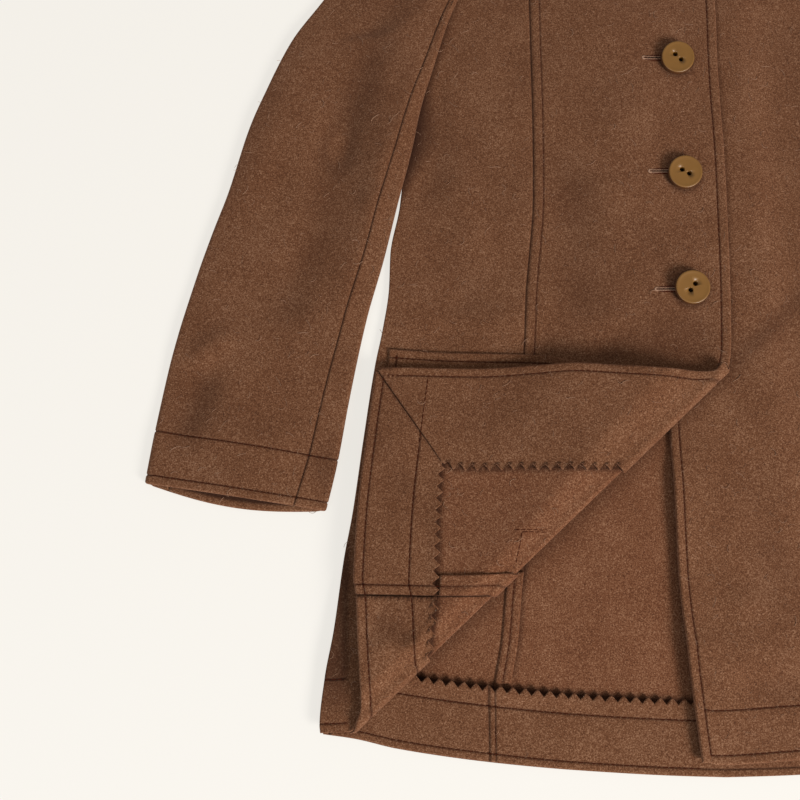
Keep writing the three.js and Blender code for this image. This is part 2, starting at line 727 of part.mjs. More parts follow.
// The back princess seam's allowances, pressed to the centre back, above the turned hem
function backAllowance() {
  const wall = new Wall(placeBack);
  const foot = look(backHem, 'x', 'y', 170) + backHemTurn + toothDepth / 2 + 2 * gap;
  const onBack = { low: layer, high: layer + backAllowanceThick };
  const underTheFold = (x) => foldUpper.y + ((x - foldUpper.x) * foldAlong.y) / foldAlong.x - 2;
  const ribs = [150, 138, 120, 100, foot].map((y, i) => {
    const seam = -look(backSeam, 'y', 'x', y);
    return wall.rib([0, 0.5, 1].map((share) => {
      const x = seam + 1 + backAllowanceWidth * share;
      return { x, y: i === 0 ? underTheFold(x) : y, ...onBack };
    }));
  });
  wall.joinAll(ribs);
  return wall.geometry();
}

// ---------------------------------------------------------------- pockets

// A patch that lies on a front. On the right it ends where the fold begins.
function pocket(place, foldCuts) {
  const wall = new Wall(place);
  const onFront = { low: layer + slack, high: layer + slack + cloth };
  const outer = (y) => mix(pocketOuter.foot, pocketOuter.top, (y - pocketFoot) / (pocketTop - pocketFoot));
  const inner = (y) => mix(pocketInner.foot, pocketInner.top, (y - pocketFoot) / (pocketTop - pocketFoot));
  const columns = [...freeLeft, ...plainColumns([0.25, 0.5, 0.75]), ...freeRight];
  const footOf = (column) => {
    if (!foldCuts) return pocketFoot;
    const xAt = (y) => mix(outer(y), inner(y), column.u) + (column.inset ?? 0);
    return Math.max(pocketFoot, solve(20, 420, -7, (y) => pastFold(xAt(y), y)));
  };
  const rise = [
    { share: 0, rim: true, step: 0 },
    { share: 0, rim: false, step: -edgeInset },
    ...[0.12, 0.25, 0.38, 0.55, 0.75, 0.93].map((share) => ({ share, rim: false, step: 0 })),
    { share: 1, rim: false, step: edgeInset },
    { share: 1, rim: true, step: 0 },
  ];
  const ribs = rise.map(({ share, rim, step }) => {
    const level = (column) => mix(pocketTop, footOf(column), share) + step;
    const points = ribPoints(columns, outer, inner, level, () => onFront);
    return wall.rib(points.map((point) => ({ ...point, rim: point.rim || rim })));
  });
  wall.joinAll(ribs);
  return wall.geometry();
}

// ---------------------------------------------------------------- sleeves

// How far the sleeve is lifted at a place, where it climbs onto the body
function sleeveLift(x, y) {
  if (y < 380) return 0;
  const bodyX = -sideX(Math.min(y, 800));
  const onBody = rightBase(x, y) + layer + gap;
  return onBody * fade(x, bodyX - sleeveMargin, bodyX - sleeveMargin - sleeveRamp);
}

// One section of the flattened tube. `station(across, side)` gives a pair of places on it.
function sleeveSection(row) {
  const width = Math.hypot(row.innerX - row.outerX, row.innerY - row.outerY);
  const [dx, dy] = [(row.innerX - row.outerX) / width, (row.innerY - row.outerY) / width];
  const r = row.radius;
  const round = row === sleeveRows[0] ? edgeRound : 0;
  const pair = (across, z, normalAcross, normalUp, onUnder) => {
    const liftX = row.outerX + dx * across;
    const liftY = row.outerY + dy * across;
    const past = onUnder ? row.lip * Math.sin((Math.PI * across) / width) : 0;
    const up = z + sleeveLift(liftX, liftY);
    const at = (offset) => [
      liftX + dx * normalAcross * offset + dy * past,
      liftY + dy * normalAcross * offset - dx * past,
      up + normalUp * offset,
    ];
    return { inner: at(round - cloth / 2 - row.turned), outer: at(cloth / 2 - round) };
  };
  const crown = (across) => sleeveCrown * Math.sin((Math.PI * (across - r)) / (width - 2 * r));
  return {
    width,
    upper: (across) => pair(across, cloth / 2 + 2 * r + crown(across), 0, 1, false),
    under: (across) => pair(across, cloth / 2, 0, -1, true),
    // The rounded edges: angle 90 is on the upper layer, 270 on the under one.
    edge: (centre, angle) => {
      const a = THREE.MathUtils.degToRad(angle);
      return pair(centre + r * Math.cos(a), cloth / 2 + r + r * Math.sin(a), Math.cos(a), Math.sin(a), false);
    },
  };
}

function sleevePiece(stationsOf) {
  const wall = new Wall();
  const ribs = sleeveRows.map((row) =>
    stationsOf(sleeveSection(row), row).map(({ inner, outer }) => wall.addPair(inner, outer)));
  wall.joinAll(ribs);
  return wall.geometry();
}

// The top sleeve goes from the front seam over the outer edge to the back seam below.
const topSleeve = () =>
  sleevePiece((section, row) => {
    const r = row.radius;
    const backSeam = Math.min(sleeveBackSeam, section.width * 0.45);
    return [
      ...spread(section.width - row.seam - gap / 2, r, 7).map(section.upper),
      ...[135, 180, 225].map((angle) => section.edge(r, angle)),
      ...spread(r, backSeam, 2).map(section.under),
    ];
  });

// The under sleeve goes from there over the inner edge to the front seam.
const underSleeve = () =>
  sleevePiece((section, row) => {
    const r = row.radius;
    const backSeam = Math.min(sleeveBackSeam, section.width * 0.45);
    return [
      ...spread(backSeam + gap, section.width - r, 6).map(section.under),
      ...[315, 360, 405].map((angle) => section.edge(section.width - r, angle)),
      ...spread(section.width - r, section.width - row.seam + gap / 2, 2).map(section.upper),
    ];
  });

// ---------------------------------------------------------------- buttons

const solidOf = (shape) => {
  const bare = shape.clone();
  bare.deleteAttribute('normal');
  bare.deleteAttribute('uv');
  const merged = mergeVertices(bare, 1e-4);
  const triVerts = new Uint32Array(merged.index.array);
  return new wasm.Manifold(new wasm.Mesh({
    numProp: 3,
    vertProperties: merged.attributes.position.array,
    triVerts,
  }));
};

const shapeOf = (solid) => {
  const mesh = solid.getMesh();
  const shape = new THREE.BufferGeometry();
  shape.setAttribute('position', new THREE.BufferAttribute(mesh.vertProperties, 3));
  shape.setIndex(new THREE.BufferAttribute(mesh.triVerts, 1));
  return shape;
};

// A flat button with a bevelled rim and two sewing holes, standing on z = 0
function buttonShape() {
  const profile = [
    [0, 0],
    [buttonRadius - 1.8, 0],
    [buttonRadius - 0.3, 1.1],
    [buttonRadius, 2.2],
    [buttonRadius - 0.5, 3.3],
    [buttonRadius - 1.6, buttonThick],
    [buttonRadius - 3, buttonThick - 0.2],
    [0, buttonThick - 0.4],
  ].map(([radius, z]) => new THREE.Vector2(radius, z));
  let body = solidOf(new THREE.LatheGeometry(profile, 28).rotateX(Math.PI / 2));
  for (const side of [-1, 1]) {
    const hole = new THREE.CylinderGeometry(buttonHoleRadius, buttonHoleRadius, buttonThick * 3, 10);
    hole.rotateX(Math.PI / 2).translate((side * buttonHoleSpacing) / 2, 0, 0);
    body = body.subtract(solidOf(hole));
  }
  return shapeOf(body);
}

// ---------------------------------------------------------------- the coat

const wool = () => new THREE.MeshStandardMaterial({ color: 0x72503e, roughness: 0.95, metalness: 0 });
const horn = () => new THREE.MeshStandardMaterial({ color: 0x8a6532, roughness: 0.4, metalness: 0 });

const coat = new THREE.Group();

function add(name, geometry, material = wool()) {
  const mesh = new THREE.Mesh(geometry, material);
  mesh.name = name;
  coat.add(mesh);
  return mesh;
}

// The same piece for the wearer's left side
function addMirrored(name, geometry) {
  const flipped = geometry.clone().scale(-1, 1, 1);
  const order = Array.from(flipped.index.array);
  for (let i = 0; i < order.length; i += 3) [order[i + 1], order[i + 2]] = [order[i + 2], order[i + 1]];
  flipped.setIndex(order);
  return add(name, flipped);
}

add('back_centre', backCentre());
add('back_side_right', backSide());
addMirrored('back_side_left', backSide());
add('back_hem_side_right', backHemTurned(-292, -look(backSeam, 'y', 'x', 30) - gap / 2));
add('back_hem_centre', backHemTurned(-look(backSeam, 'y', 'x', 30) + gap / 2, look(backSeam, 'y', 'x', 30)));
add('back_allowance_right', backAllowance());
add('front_left_centre', frontLeftCentre());
add('front_left_side', frontLeftSide());
add('front_right_centre', frontRightCentre());
add('front_right_side', frontRightSide());
add('front_right_facing', frontRightFacing());
add('front_right_hem_centre', frontRightHemCentre());
add('front_right_hem_side', frontRightHemSide());
add('front_right_allowance', frontRightAllowance());
add('pocket_right', pocket(placeRight, true));
addMirrored('pocket_left', pocket((x, y, offset) => [x, y, leftBase(-x, y) + offset], false));
add('sleeve_right_top', topSleeve());
add('sleeve_right_under', underSleeve());
addMirrored('sleeve_left_top', topSleeve());
addMirrored('sleeve_left_under', underSleeve());
for (const { name, y, turn } of buttons) {
  const mesh = add(name, buttonShape(), horn());
  mesh.position.set(buttonX, y, rightBase(buttonX, y) + cloth + gap);
  mesh.rotation.z = THREE.MathUtils.degToRad(turn);
}

// The origin is in the middle of the coat, on the floor.
const box = new THREE.Box3().setFromObject(coat);
const middle = box.getCenter(new THREE.Vector3());
coat.position.set(-middle.x, -middle.y, -box.min.z);

export default coat;
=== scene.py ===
import math
import random

import bmesh
import bpy
import numpy as np
from mathutils import Matrix, Vector


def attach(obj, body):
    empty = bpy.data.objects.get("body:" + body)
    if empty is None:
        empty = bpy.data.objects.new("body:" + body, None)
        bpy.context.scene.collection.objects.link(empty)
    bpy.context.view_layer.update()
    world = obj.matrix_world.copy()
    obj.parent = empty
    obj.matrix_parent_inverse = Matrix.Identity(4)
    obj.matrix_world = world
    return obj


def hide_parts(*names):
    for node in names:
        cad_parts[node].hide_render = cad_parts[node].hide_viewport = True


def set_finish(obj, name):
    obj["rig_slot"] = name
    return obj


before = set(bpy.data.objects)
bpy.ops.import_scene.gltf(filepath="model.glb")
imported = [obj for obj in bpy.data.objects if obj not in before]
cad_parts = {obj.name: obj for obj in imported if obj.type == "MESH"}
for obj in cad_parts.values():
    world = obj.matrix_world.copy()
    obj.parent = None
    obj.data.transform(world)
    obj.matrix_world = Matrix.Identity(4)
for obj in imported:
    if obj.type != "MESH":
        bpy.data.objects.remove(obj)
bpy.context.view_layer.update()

# Millimetres until a mesh is made. x is 0 at the centre front and grows to the wearer's left,
# y is 0 at the lowest point of the hem, z is 0 on the floor.
coatMiddle = 421.25  # y of the frame's origin
cloth = 2.0
gap = 0.3
layer = cloth + gap
slack = 0.2  # more room under a piece that lies on a sloping panel
closeGap = 0.04  # in a seam that has only the floor under it
noEdge = 99  # stands for the distance from an edge or a seam that isn't there

print("coat: outlines")

# Outlines of the cut, each a height and how far out the line is there
bodyEdge = [(30, 298.6), (38, 299.5), (71, 296.3), (106, 290), (160, 283), (194, 277), (253, 269), (314, 260),
            (344, 254), (379, 249), (408, 248), (452, 240), (505, 236), (560, 238), (600, 245), (612, 222),
            (635, 200), (670, 184), (705, 180), (757, 186), (800, 196)]
frontSeam = [(24, 176), (106, 171.6), (150, 166.5), (240, 152.5), (324, 140.5), (374, 137.5), (415, 133),
             (452, 129.6), (510, 128), (642, 127.6), (760, 131), (823, 135)]
backSeam = [(0, 177), (62, 170.5), (100, 163.5), (138, 159.5), (250, 141), (400, 119), (505, 112), (600, 117),
            (700, 126), (823, 136)]
rightEdge = [(24, 1.5), (50, 4), (113, 7), (157, 11.7), (189, 15), (276, 15.5), (300, 18.5), (323, 24.5),
             (362, 27), (406, 28.5), (485, 30.5), (579, 31), (641, 33), (730, 34)]
leftEdge = [(8, -18.7), (51, -22), (92, -24.8), (149, -27.4), (264, -26.8), (400, -29), (730, -33)]
# Hems, each a place across the coat and the height of the turned edge
rightHem = [(-299, 32), (-275, 33), (-256, 37.5), (-237, 35.3), (-210, 31.6), (-176, 27.5), (-163, 24.5),
            (-115, 23.5), (-50, 26), (3, 29.5)]
leftHem = [(-19, 11.6), (-8, 9.5), (53, 13), (120, 16), (176, 19), (240, 25), (299, 32)]
backHem = [(0, 0.5), (37, 1.5), (108, 5.4), (176, 11.7), (240, 20.4), (272, 27.3), (299, 31)]
# Neck and shoulder lines, each a share of the panel's width from its outer seam and a height
frontTop = [(0, 823), (0.15, 832), (0.3, 842), (0.34, 793), (0.45, 757), (0.65, 735), (1, 727)]
sideTop = [(0, 800), (1, 823)]
backTop = [(0, 823), (0.1, 832), (0.19, 842), (0.26, 838), (0.5, 832)]


def mix(a, b, share):
    return a + (b - a) * share


def fade(value, full, none):
    t = np.clip((np.asarray(value, float) - none) / (full - none), 0, 1)
    return t * t * (3 - 2 * t)


def smoothAt(table, at):
    keys, values = np.array(table, float).T
    at = np.clip(np.asarray(at, float), keys[0], keys[-1])
    i = np.clip(np.searchsorted(keys, at) - 1, 0, len(keys) - 2)
    slope = np.diff(values) / np.diff(keys)
    product = slope[:-1] * slope[1:]
    total = np.where(product > 0, slope[:-1] + slope[1:], 1)
    ease = np.where(product > 0, 2 * product / total, 0)
    before = np.concatenate([slope[:1], ease])
    after = np.concatenate([ease, slope[-1:]])
    span = keys[i + 1] - keys[i]
    t = (at - keys[i]) / span
    bend = before[i] * t * (1 - t) ** 2 - after[i] * t * t * (1 - t)
    return values[i] + (values[i + 1] - values[i]) * t * t * (3 - 2 * t) + bend * span


def straightAt(table, at):
    keys, values = np.array(table, float).T
    return np.interp(at, keys, values)


def whereIs(low, high, goal, valueAt):
    # where a rising or falling function of arrays reaches the goal, by halving
    goal = np.asarray(goal, float)
    low = np.full(goal.shape, float(low))
    high = np.full(goal.shape, float(high))
    rising = valueAt(high) > valueAt(low)
    for _ in range(36):
        middle = (low + high) / 2
        short = (valueAt(middle) < goal) == rising
        low = np.where(short, middle, low)
        high = np.where(short, high, middle)
    return (low + high) / 2


def sideX(y):
    return smoothAt(bodyEdge, y)


def rightSeamX(y):
    return -smoothAt(frontSeam, y)


def rightEdgeX(y):
    return smoothAt(rightEdge, y)


def leftEdgeX(y):
    return smoothAt(leftEdge, y)


def rightHemY(x):
    return smoothAt(rightHem, x)


def leftHemY(x):
    return smoothAt(leftHem, x)


def backHemY(x):
    return smoothAt(backHem, np.abs(x))


print("coat: how the layers lie")

fold = {
    "upper": (8.2, 302.2),  # ends of the fold's axis on the panel
    "lower": (-276.3, 36.8),
    "radius": 2.5,  # of the cloth's middle round it
    "underneath": -8.7,  # how far the facing and hem run on below it
}
foldEnd = math.pi * fold["radius"]
foldLength = math.hypot(fold["lower"][0] - fold["upper"][0], fold["lower"][1] - fold["upper"][1])
alongX = (fold["lower"][0] - fold["upper"][0]) / foldLength
alongY = (fold["lower"][1] - fold["upper"][1]) / foldLength
acrossX, acrossY = -alongY, alongX  # out of the panel, past the fold


def pastFold(x, y):
    return (x - fold["upper"][0]) * acrossX + (y - fold["upper"][1]) * acrossY


lie = {
    "swell": 1.2,  # of the left front off the back
    "hemStack": 102,  # height up to which the turned hems raise the right front
    "facing": 76,
    "hemTurn": 47,
    "curl": 3.4,  # of the left front's edge, where the corner no longer lies on it
}

# Soft troughs and ridges of the cloth as it lies: from x, y to x, y, half width, height
creases = [
    (-262, 600, -290, 500, 17, -3.6),  # sleeve, down its middle
    (-290, 500, -326, 370, 18, -3.2),
    (-231, 560, -262, 450, 12, 2.6),
    (-262, 450, -284, 360, 13, 2.0),
    (-330, 570, -368, 470, 20, 2.6),
    (-368, 470, -388, 400, 18, 1.2),
    (-384, 330, -396, 322, 11, 3.0),  # elbow side above the cuff
    (-396, 296, -410, 268, 15, -4.4),
    (-306, 236, -298, 214, 12, -2.6),
    (-372, 262, -340, 244, 14, 1.5),
    (-209, 556, -221, 470, 15, -3.4),  # right side panel, beside the sleeve
    (-190, 462, -182, 430, 17, 2.8),
    (-226, 392, -196, 366, 17, -2.8),
    (-214, 352, -160, 350, 11, 1.2),
    (-100, 470, -95, 372, 26, -3.2),  # right front
    (-50, 600, -54, 470, 26, 2.2),
    (-50, 440, -26, 396, 15, -1.4),
    (-118, 326, -80, 322, 17, -3.6),  # dents above the folded corner
    (-62, 326, -6, 319, 16, -4.0),
    (-46, 352, 2, 346, 15, -1.6),
    (-225, 333, -205, 331, 10, -1.4),
    (50, 620, 56, 380, 24, 2.2),  # left front
    (96, 600, 90, 300, 26, -1.8),
    (48, 320, 60, 230, 22, 1.8),
    (40, 172, 76, 146, 15, -1.8),
    (26, 124, 84, 100, 15, 3.4),
    (-8, 94, 4, 80, 10, 2.0),
    (30, 70, 86, 60, 13, -1.8),
    (150, 560, 160, 330, 24, 1.6),
    (200, 470, 188, 300, 22, -2.0),
    (-254, 116, -236, 106, 7, -2.4),  # folded corner, near its foot
    (-250, 92, -230, 90, 9, 2.8),
    (-262, 252, -242, 222, 12, -1.5),
    (-90, 190, -60, 100, 20, 1.6),  # inside of the back
    (-120, 130, -100, 60, 16, -1.2),
    (262, 600, 290, 500, 17, -3.4),  # the other sleeve
    (290, 500, 330, 370, 18, -3.0),
    (233, 560, 266, 440, 13, 2.4),
    (392, 300, 410, 266, 15, -4.0),
    (-60, 780, -80, 640, 26, 1.8),  # shoulders
    (70, 790, 84, 660, 26, 1.8),
]
ripples = [  # wavelength, direction, height, phase
    (148, 0.35, 0.5, 0.4), (96, 1.25, 0.4, 1.9), (63, 2.35, 0.22, 4.2), (41, 0.85, 0.1, 2.7),
    (27, 1.9, 0.04, 0.9),
]


def rise(x, y):
    # how far the cloth stands above its even lie
    total = np.zeros_like(x)
    for length, way, height, phase in ripples:
        total += height * np.sin((x * math.cos(way) + y * math.sin(way)) * 2 * math.pi / length + phase)
    for x0, y0, x1, y1, width, height in creases:
        length = math.hypot(x1 - x0, y1 - y0)
        ux, uy = (x1 - x0) / length, (y1 - y0) / length
        along = (x - x0) * ux + (y - y0) * uy
        beside = (x - x0) * uy - (y - y0) * ux
        beside = beside + 3 * np.sin(along / 31 + x0)
        off = along - np.clip(along, 0, length)
        total += height * np.exp(-(beside / width) ** 2 - (off / (1.2 * width)) ** 2)
    return total


def standOff(x, y):
    # how far the folded corner stands off the coat, as thick cloth folds loosely. It sags between its edges
    inside = -pastFold(x, y)
    down = (fold["upper"][0] - x) * -alongX + (fold["upper"][1] - y) * -alongY
    stiff = mix(8.1, 5.5, fade(down, 300, 60))
    sag = 1 - 0.5 * np.exp(-(((x + 185) / 62) ** 2) - ((y - 205) / 62) ** 2)
    sag = sag * (1 - 0.65 * fade(x, -190, -90) * fade(y, 290, 235))
    return stiff * sag * fade(inside, mix(32, 14, fade(down, 260, 40)), 0)


def leftBase(x, y):
    backHemHere = fade(y, 92, 120)
    turnedHem = fade(y - leftHemY(x), lie["hemTurn"] + 14, lie["hemTurn"] + 54)
    facing = fade(x - leftEdgeX(y), lie["facing"] + 4, lie["facing"] + 34)
    swell = lie["swell"] * fade(np.abs(x - 130), 20, 80) * fade(y, 120, 60) * fade(y, 560, 760)
    curl = lie["curl"] * np.exp(-np.maximum(x - leftEdgeX(y), 0) / 13) * fade(y, 215, 256) * fade(y, 20, -30)
    return layer + layer * backHemHere + layer * np.maximum(turnedHem, facing) + swell + curl


def rightBase(x, y):
    hems = fade(y, lie["hemStack"], lie["hemStack"] + 140)
    centre = fade(x, -54, -235)
    return layer + 2 * layer * hems + 3 * layer * centre * (1 - hems / 3)


def settle(x, y, z):
    # the floor stays flat, and all that lies on it follows the creases
    x, y, z = np.broadcast_arrays(np.asarray(x, float), y, z)
    return np.stack([x, y, z + rise(x, y) * fade(z, 8, 0)], -1)


def placeBack(x, y, offset):
    return settle(x, y, offset + 0 * x)


def placeLeft(x, y, offset):
    return settle(x, y, leftBase(x, y) + offset)


def placeRight(x, y, offset):
    # flat up to the fold's axis, then round it, then wrong side up
    x, y, offset = np.broadcast_arrays(np.asarray(x, float), y, offset)
    past = pastFold(x, y)
    outside = fold["radius"] + cloth / 2
    radius = outside - offset
    turn = np.clip(past / fold["radius"], 0, math.pi)
    back = np.maximum(0, past - foldEnd)
    reach = radius * np.sin(turn) - back - past
    px = np.where(past > 0, x + acrossX * reach, x)
    py = np.where(past > 0, y + acrossY * reach, y)
    py = py + 12 * fade(px, 20, 4) ** 2 * fade(turn, 3.1, 1.7)  # the front edge turns in a soft round
    turning = (past > 0) & (turn < math.pi)
    baseX = np.where(turning, x - acrossX * past, px)
    baseY = np.where(turning, y - acrossY * past, py)
    lifted = outside - radius * np.cos(turn)
    standing = standOff(px, py) * (1 - np.cos(turn)) / 2
    z = rightBase(baseX, baseY) + np.where(past > 0, lifted + standing, offset)
    return settle(px, py, z)


# Places of grid lines, in millimetres from an edge and from a line of stitches
edgeStops = [0, 0.12, 0.4, 0.85, 1.4, 2.1, 3.2]
lineStops = [-1.7, -1.0, -0.5, -0.2, 0.2, 0.5, 1.0, 1.7]


def gridStops(end, lines, coarse, start=edgeStops):
    stops = set(start) | {line + near for line in lines for near in lineStops} | {end}
    ordered = sorted(stop for stop in stops if 0 <= stop <= end)
    filled = ordered[:1]
    for stop in ordered[1:]:
        if stop - filled[-1] < 0.1 and stop != end:
            continue
        steps = max(1, math.ceil((stop - filled[-1]) / coarse))
        low = filled[-1]
        filled += [mix(low, stop, k / steps) for k in range(1, steps + 1)]
    return filled


def gridColumns(width, coarse, left=(), right=(), leftStops=edgeStops, rightStops=edgeStops):
    # shares of the width, each with a distance in millimetres that is added to it
    leftEnd = max([leftStops[-1], *left]) + 3
    rightEnd = max([rightStops[-1], *right]) + 3
    count = max(2, round((width - leftEnd - rightEnd) / coarse))
    near = [(0, stop) for stop in gridStops(leftEnd, left, coarse, leftStops)]
    far = [(1, -stop) for stop in reversed(gridStops(rightEnd, right, coarse, rightStops))]
    middle = [(k / count, mix(leftEnd, -rightEnd, k / count)) for k in range(1, count)]
    share, inset = np.array([*near, *middle, *far]).T
    return share[None, :], inset[None, :]


def gridRows(length, coarse, hemLines, hemEnd=60):
    # shares of the length above the hem, each with a height over it
    top = [stop / length for stop in edgeStops]
    count = round(length / coarse)
    upper = [(share, hemEnd) for share in [*top, *(k / count for k in range(2, count + 1))]]
    lower = [(1, height) for height in reversed(gridStops(hemEnd, hemLines, coarse))][1:]
    share, height = np.array([*upper, *lower]).T
    return share[:, None], height[:, None]


def edgeFall(distance, radius):
    # how far a rounded edge drops at a distance from it
    inside = 1 - np.clip(np.asarray(distance, float) / radius, 0, 1)
    return radius * (1 - np.sqrt(1 - inside**2))


def furrow(distance, along, depth=0.72, width=0.72):
    # a line of stitches pulls the cloth in, most where the thread goes down
    pucker = 0.82 + 0.18 * np.cos(np.asarray(along) * 2 * math.pi / sewing["pitch"])
    return depth * pucker * np.exp(-((distance / width) ** 2))


def sewnShade(distance):
    # painted shade along a line of stitches, for the shade in its furrow
    return 0.6 * np.exp(-((np.asarray(distance, float) / 0.85) ** 2))


def sewnLines(distance, lines, along):
    return sum(furrow(distance - line, along) for line in lines)


def sewnShades(distance, lines):
    return sum(sewnShade(distance - line) for line in lines)


def seamShade(distance, width=0.55):
    # painted shade in a seam; the same curve also shapes the seam's groove
    return 0.7 * np.exp(-((np.asarray(distance, float) / width) ** 2))


def pinkedShade(distance):
    # painted shadow on the cloth under and beside a raised pinked edge
    return 0.84 * np.exp(-((np.asarray(distance, float) / 2.7) ** 2))


def shadeUnderFold(x, y):
    # painted shade on the cloth beside the folded corner and beside the right front's edge, which lies over
    # it
    beside = 0.32 * np.exp(-(((pastFold(x, y) - 4) / 9) ** 2))
    edge = 0.42 * np.exp(-(((x - rightEdgeX(y) - 0.6) / 2.4) ** 2)) * fade(y, 312, 300)
    return np.maximum(beside, edge)


def toMetres(point):
    return Vector((point[0] / 1000, (point[1] - coatMiddle) / 1000, point[2] / 1000))


def cutArea(x, y):
    # flat area of a grid of places on the pattern, in square metres
    dx1, dy1 = x[1:, 1:] - x[:-1, :-1], y[1:, 1:] - y[:-1, :-1]
    dx2, dy2 = x[1:, :-1] - x[:-1, 1:], y[1:, :-1] - y[:-1, 1:]
    return float(np.abs(dx1 * dy2 - dx2 * dy1).sum() / 2 * 1e-6)


def clothPiece(name, low, high, material, nodes, area, lowMaterial=None,
               pressed=0):
    # a wall of cloth from two grids of places, its two sides
    rows, columns = low.shape[:2]
    troughShade = (-rise(high[..., 0], high[..., 1]) - 0.4).clip(0)  # painted shade in the troughs of the creases
    pressed = pressed + 0.075 * troughShade * fade(high[..., 2], 5, 3)
    bm = bmesh.new()
    # painted shade, kept on each corner as an attribute by which the wool material darkens
    pressedLayer = bm.verts.layers.float.new("pressed")
    bmesh.ops.create_grid(bm, x_segments=columns - 1, y_segments=rows - 1, size=1)
    bmesh.ops.solidify(bm, geom=bm.faces[:], thickness=1)
    for face in bm.faces:
        face.smooth = True
        face.material_index = int(lowMaterial is not None and all(abs(v.co.z) < 0.5 for v in face.verts))
    for vert in bm.verts:
        column = round((vert.co.x + 1) / 2 * (columns - 1))
        row = round((vert.co.y + 1) / 2 * (rows - 1))
        side = high if abs(vert.co.z) > 0.5 else low
        vert.co = toMetres(side[row, column])
        vert[pressedLayer] = float(min(1, pressed[row, column]))
    bmesh.ops.remove_doubles(bm, verts=bm.verts[:], dist=2e-5)
    bmesh.ops.dissolve_degenerate(bm, edges=bm.edges[:], dist=1e-6)
    bmesh.ops.recalc_face_normals(bm, faces=bm.faces[:])
    piece = addPiece(name, bm, material, nodes, "felted_wool")
    if lowMaterial:
        piece.data.materials.append(lowMaterial)
    return piece


def addPiece(name, bm, material, nodes, slot):
    mesh = bpy.data.meshes.new(name)
    bm.to_mesh(mesh)
    bm.free()
    piece = addMesh(name, mesh, material, slot)
    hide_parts(*nodes)
    return piece


def addMesh(name, mesh, material, slot):
    mesh.materials.append(material)
    piece = bpy.data.objects.new(name, mesh)
    bpy.context.collection.objects.link(piece)
    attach(piece, "root")
    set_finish(piece, slot)
    return piece


print("coat: materials")


def linear(code):
    values = [int(code[i : i + 2], 16) / 255 for i in (1, 3, 5)]
    return [v / 12.92 if v <= 0.04045 else ((v + 0.055) / 1.055) ** 2.4 for v in values] + [1]


def addNode(tree, kind, links=(), **settings):
    node = tree.nodes.new(kind)
    for key, value in settings.items():
        if key in node.inputs:
            node.inputs[key].default_value = value
        else:
            setattr(node, key, value)
    for output, key in links:
        tree.links.new(output, node.inputs[key])
    return node


def newMaterial(name):
    material = bpy.data.materials.new(name)
    material.use_nodes = True
    material.node_tree.nodes.clear()
    return material


def finishMaterial(tree, shader):
    addNode(tree, "ShaderNodeOutputMaterial", [(shader.outputs["BSDF"], "Surface")])


# Melton: wool woven, fulled until the weave is gone, then raised. The eye sees a tangle of fibres, lighter
# where they stand up and darker between them, with no gloss but a soft light rim.
wool = {
    "deep": "#412515",
    "middle": "#613c25",
    "light": "#8c684f",
    "pressed": "#220d05",  # painted shade, towards which the wool darkens in seams, stitch furrows, creases and beside raised layers
    "sheen": "#c9947a",
    "fibreSize": 1.0,  # mm, clumps of the tangle
    "grainSize": 0.45,  # mm, drawn as coarse as it needs to show; a fibre is 0.03 mm
    "cloudSize": 38,  # mm, broad uneven wear of the nap
    "bumpDepth": 0.45,
}


def feltedWool(name, deep, middle, light):
    material = newMaterial(name)
    tree = material.node_tree
    place = addNode(tree, "ShaderNodeTexCoord").outputs["Object"]
    tangle = addNode(tree, "ShaderNodeTexNoise", [(place, "Vector")], Scale=1000 / wool["fibreSize"] / 2.2,
                     Detail=5.0, Roughness=0.72, Distortion=1.4)
    grain = addNode(tree, "ShaderNodeTexNoise", [(place, "Vector")], Scale=1000 / wool["grainSize"] / 2.2,
                    Detail=2.0, Roughness=0.6, Distortion=0.6)
    cloud = addNode(tree, "ShaderNodeTexNoise", [(place, "Vector")], Scale=1000 / wool["cloudSize"],
                    Detail=4.0, Roughness=0.6)
    both = addNode(tree, "ShaderNodeMath", [(tangle.outputs["Fac"], 0), (grain.outputs["Fac"], 2)],
                   operation="MULTIPLY_ADD")
    both.inputs[1].default_value = 0.7
    total = addNode(tree, "ShaderNodeMath", [(cloud.outputs["Fac"], 0), (both.outputs[0], 2)],
                    operation="MULTIPLY_ADD")
    total.inputs[1].default_value = 0.2
    tone = addNode(tree, "ShaderNodeMapRange", [(total.outputs[0], "Value")])
    tone.inputs["From Min"].default_value = 0.7
    tone.inputs["From Max"].default_value = 1.2
    ramp = addNode(tree, "ShaderNodeValToRGB", [(tone.outputs["Result"], "Fac")])
    ramp.color_ramp.elements[0].color = linear(deep)
    ramp.color_ramp.elements[1].color = linear(light)
    ramp.color_ramp.elements.new(0.5).color = linear(middle)
    # painted shade: the attribute mixes the wool towards a near-black brown where shade falls
    paintedShadeAttribute = addNode(tree, "ShaderNodeAttribute", attribute_name="pressed")
    colour = addNode(tree, "ShaderNodeMixRGB",
                     [(paintedShadeAttribute.outputs["Fac"], "Fac"), (ramp.outputs["Color"], "Color1")],
                     Color2=linear(wool["pressed"]))
    bump = addNode(tree, "ShaderNodeBump", [(both.outputs[0], "Height")], Strength=wool["bumpDepth"],
                   Distance=0.0006)
    shader = addNode(tree, "ShaderNodeBsdfPrincipled",
                     [(colour.outputs["Color"], "Base Color"), (bump.outputs["Normal"], "Normal")],
                     Roughness=0.92)
    shader.inputs["Specular IOR Level"].default_value = 0.12
    shader.inputs["Sheen Weight"].default_value = 0.3
    shader.inputs["Sheen Roughness"].default_value = 0.55
    shader.inputs["Sheen Tint"].default_value = linear(wool["sheen"])
    finishMaterial(tree, shader)
    return material


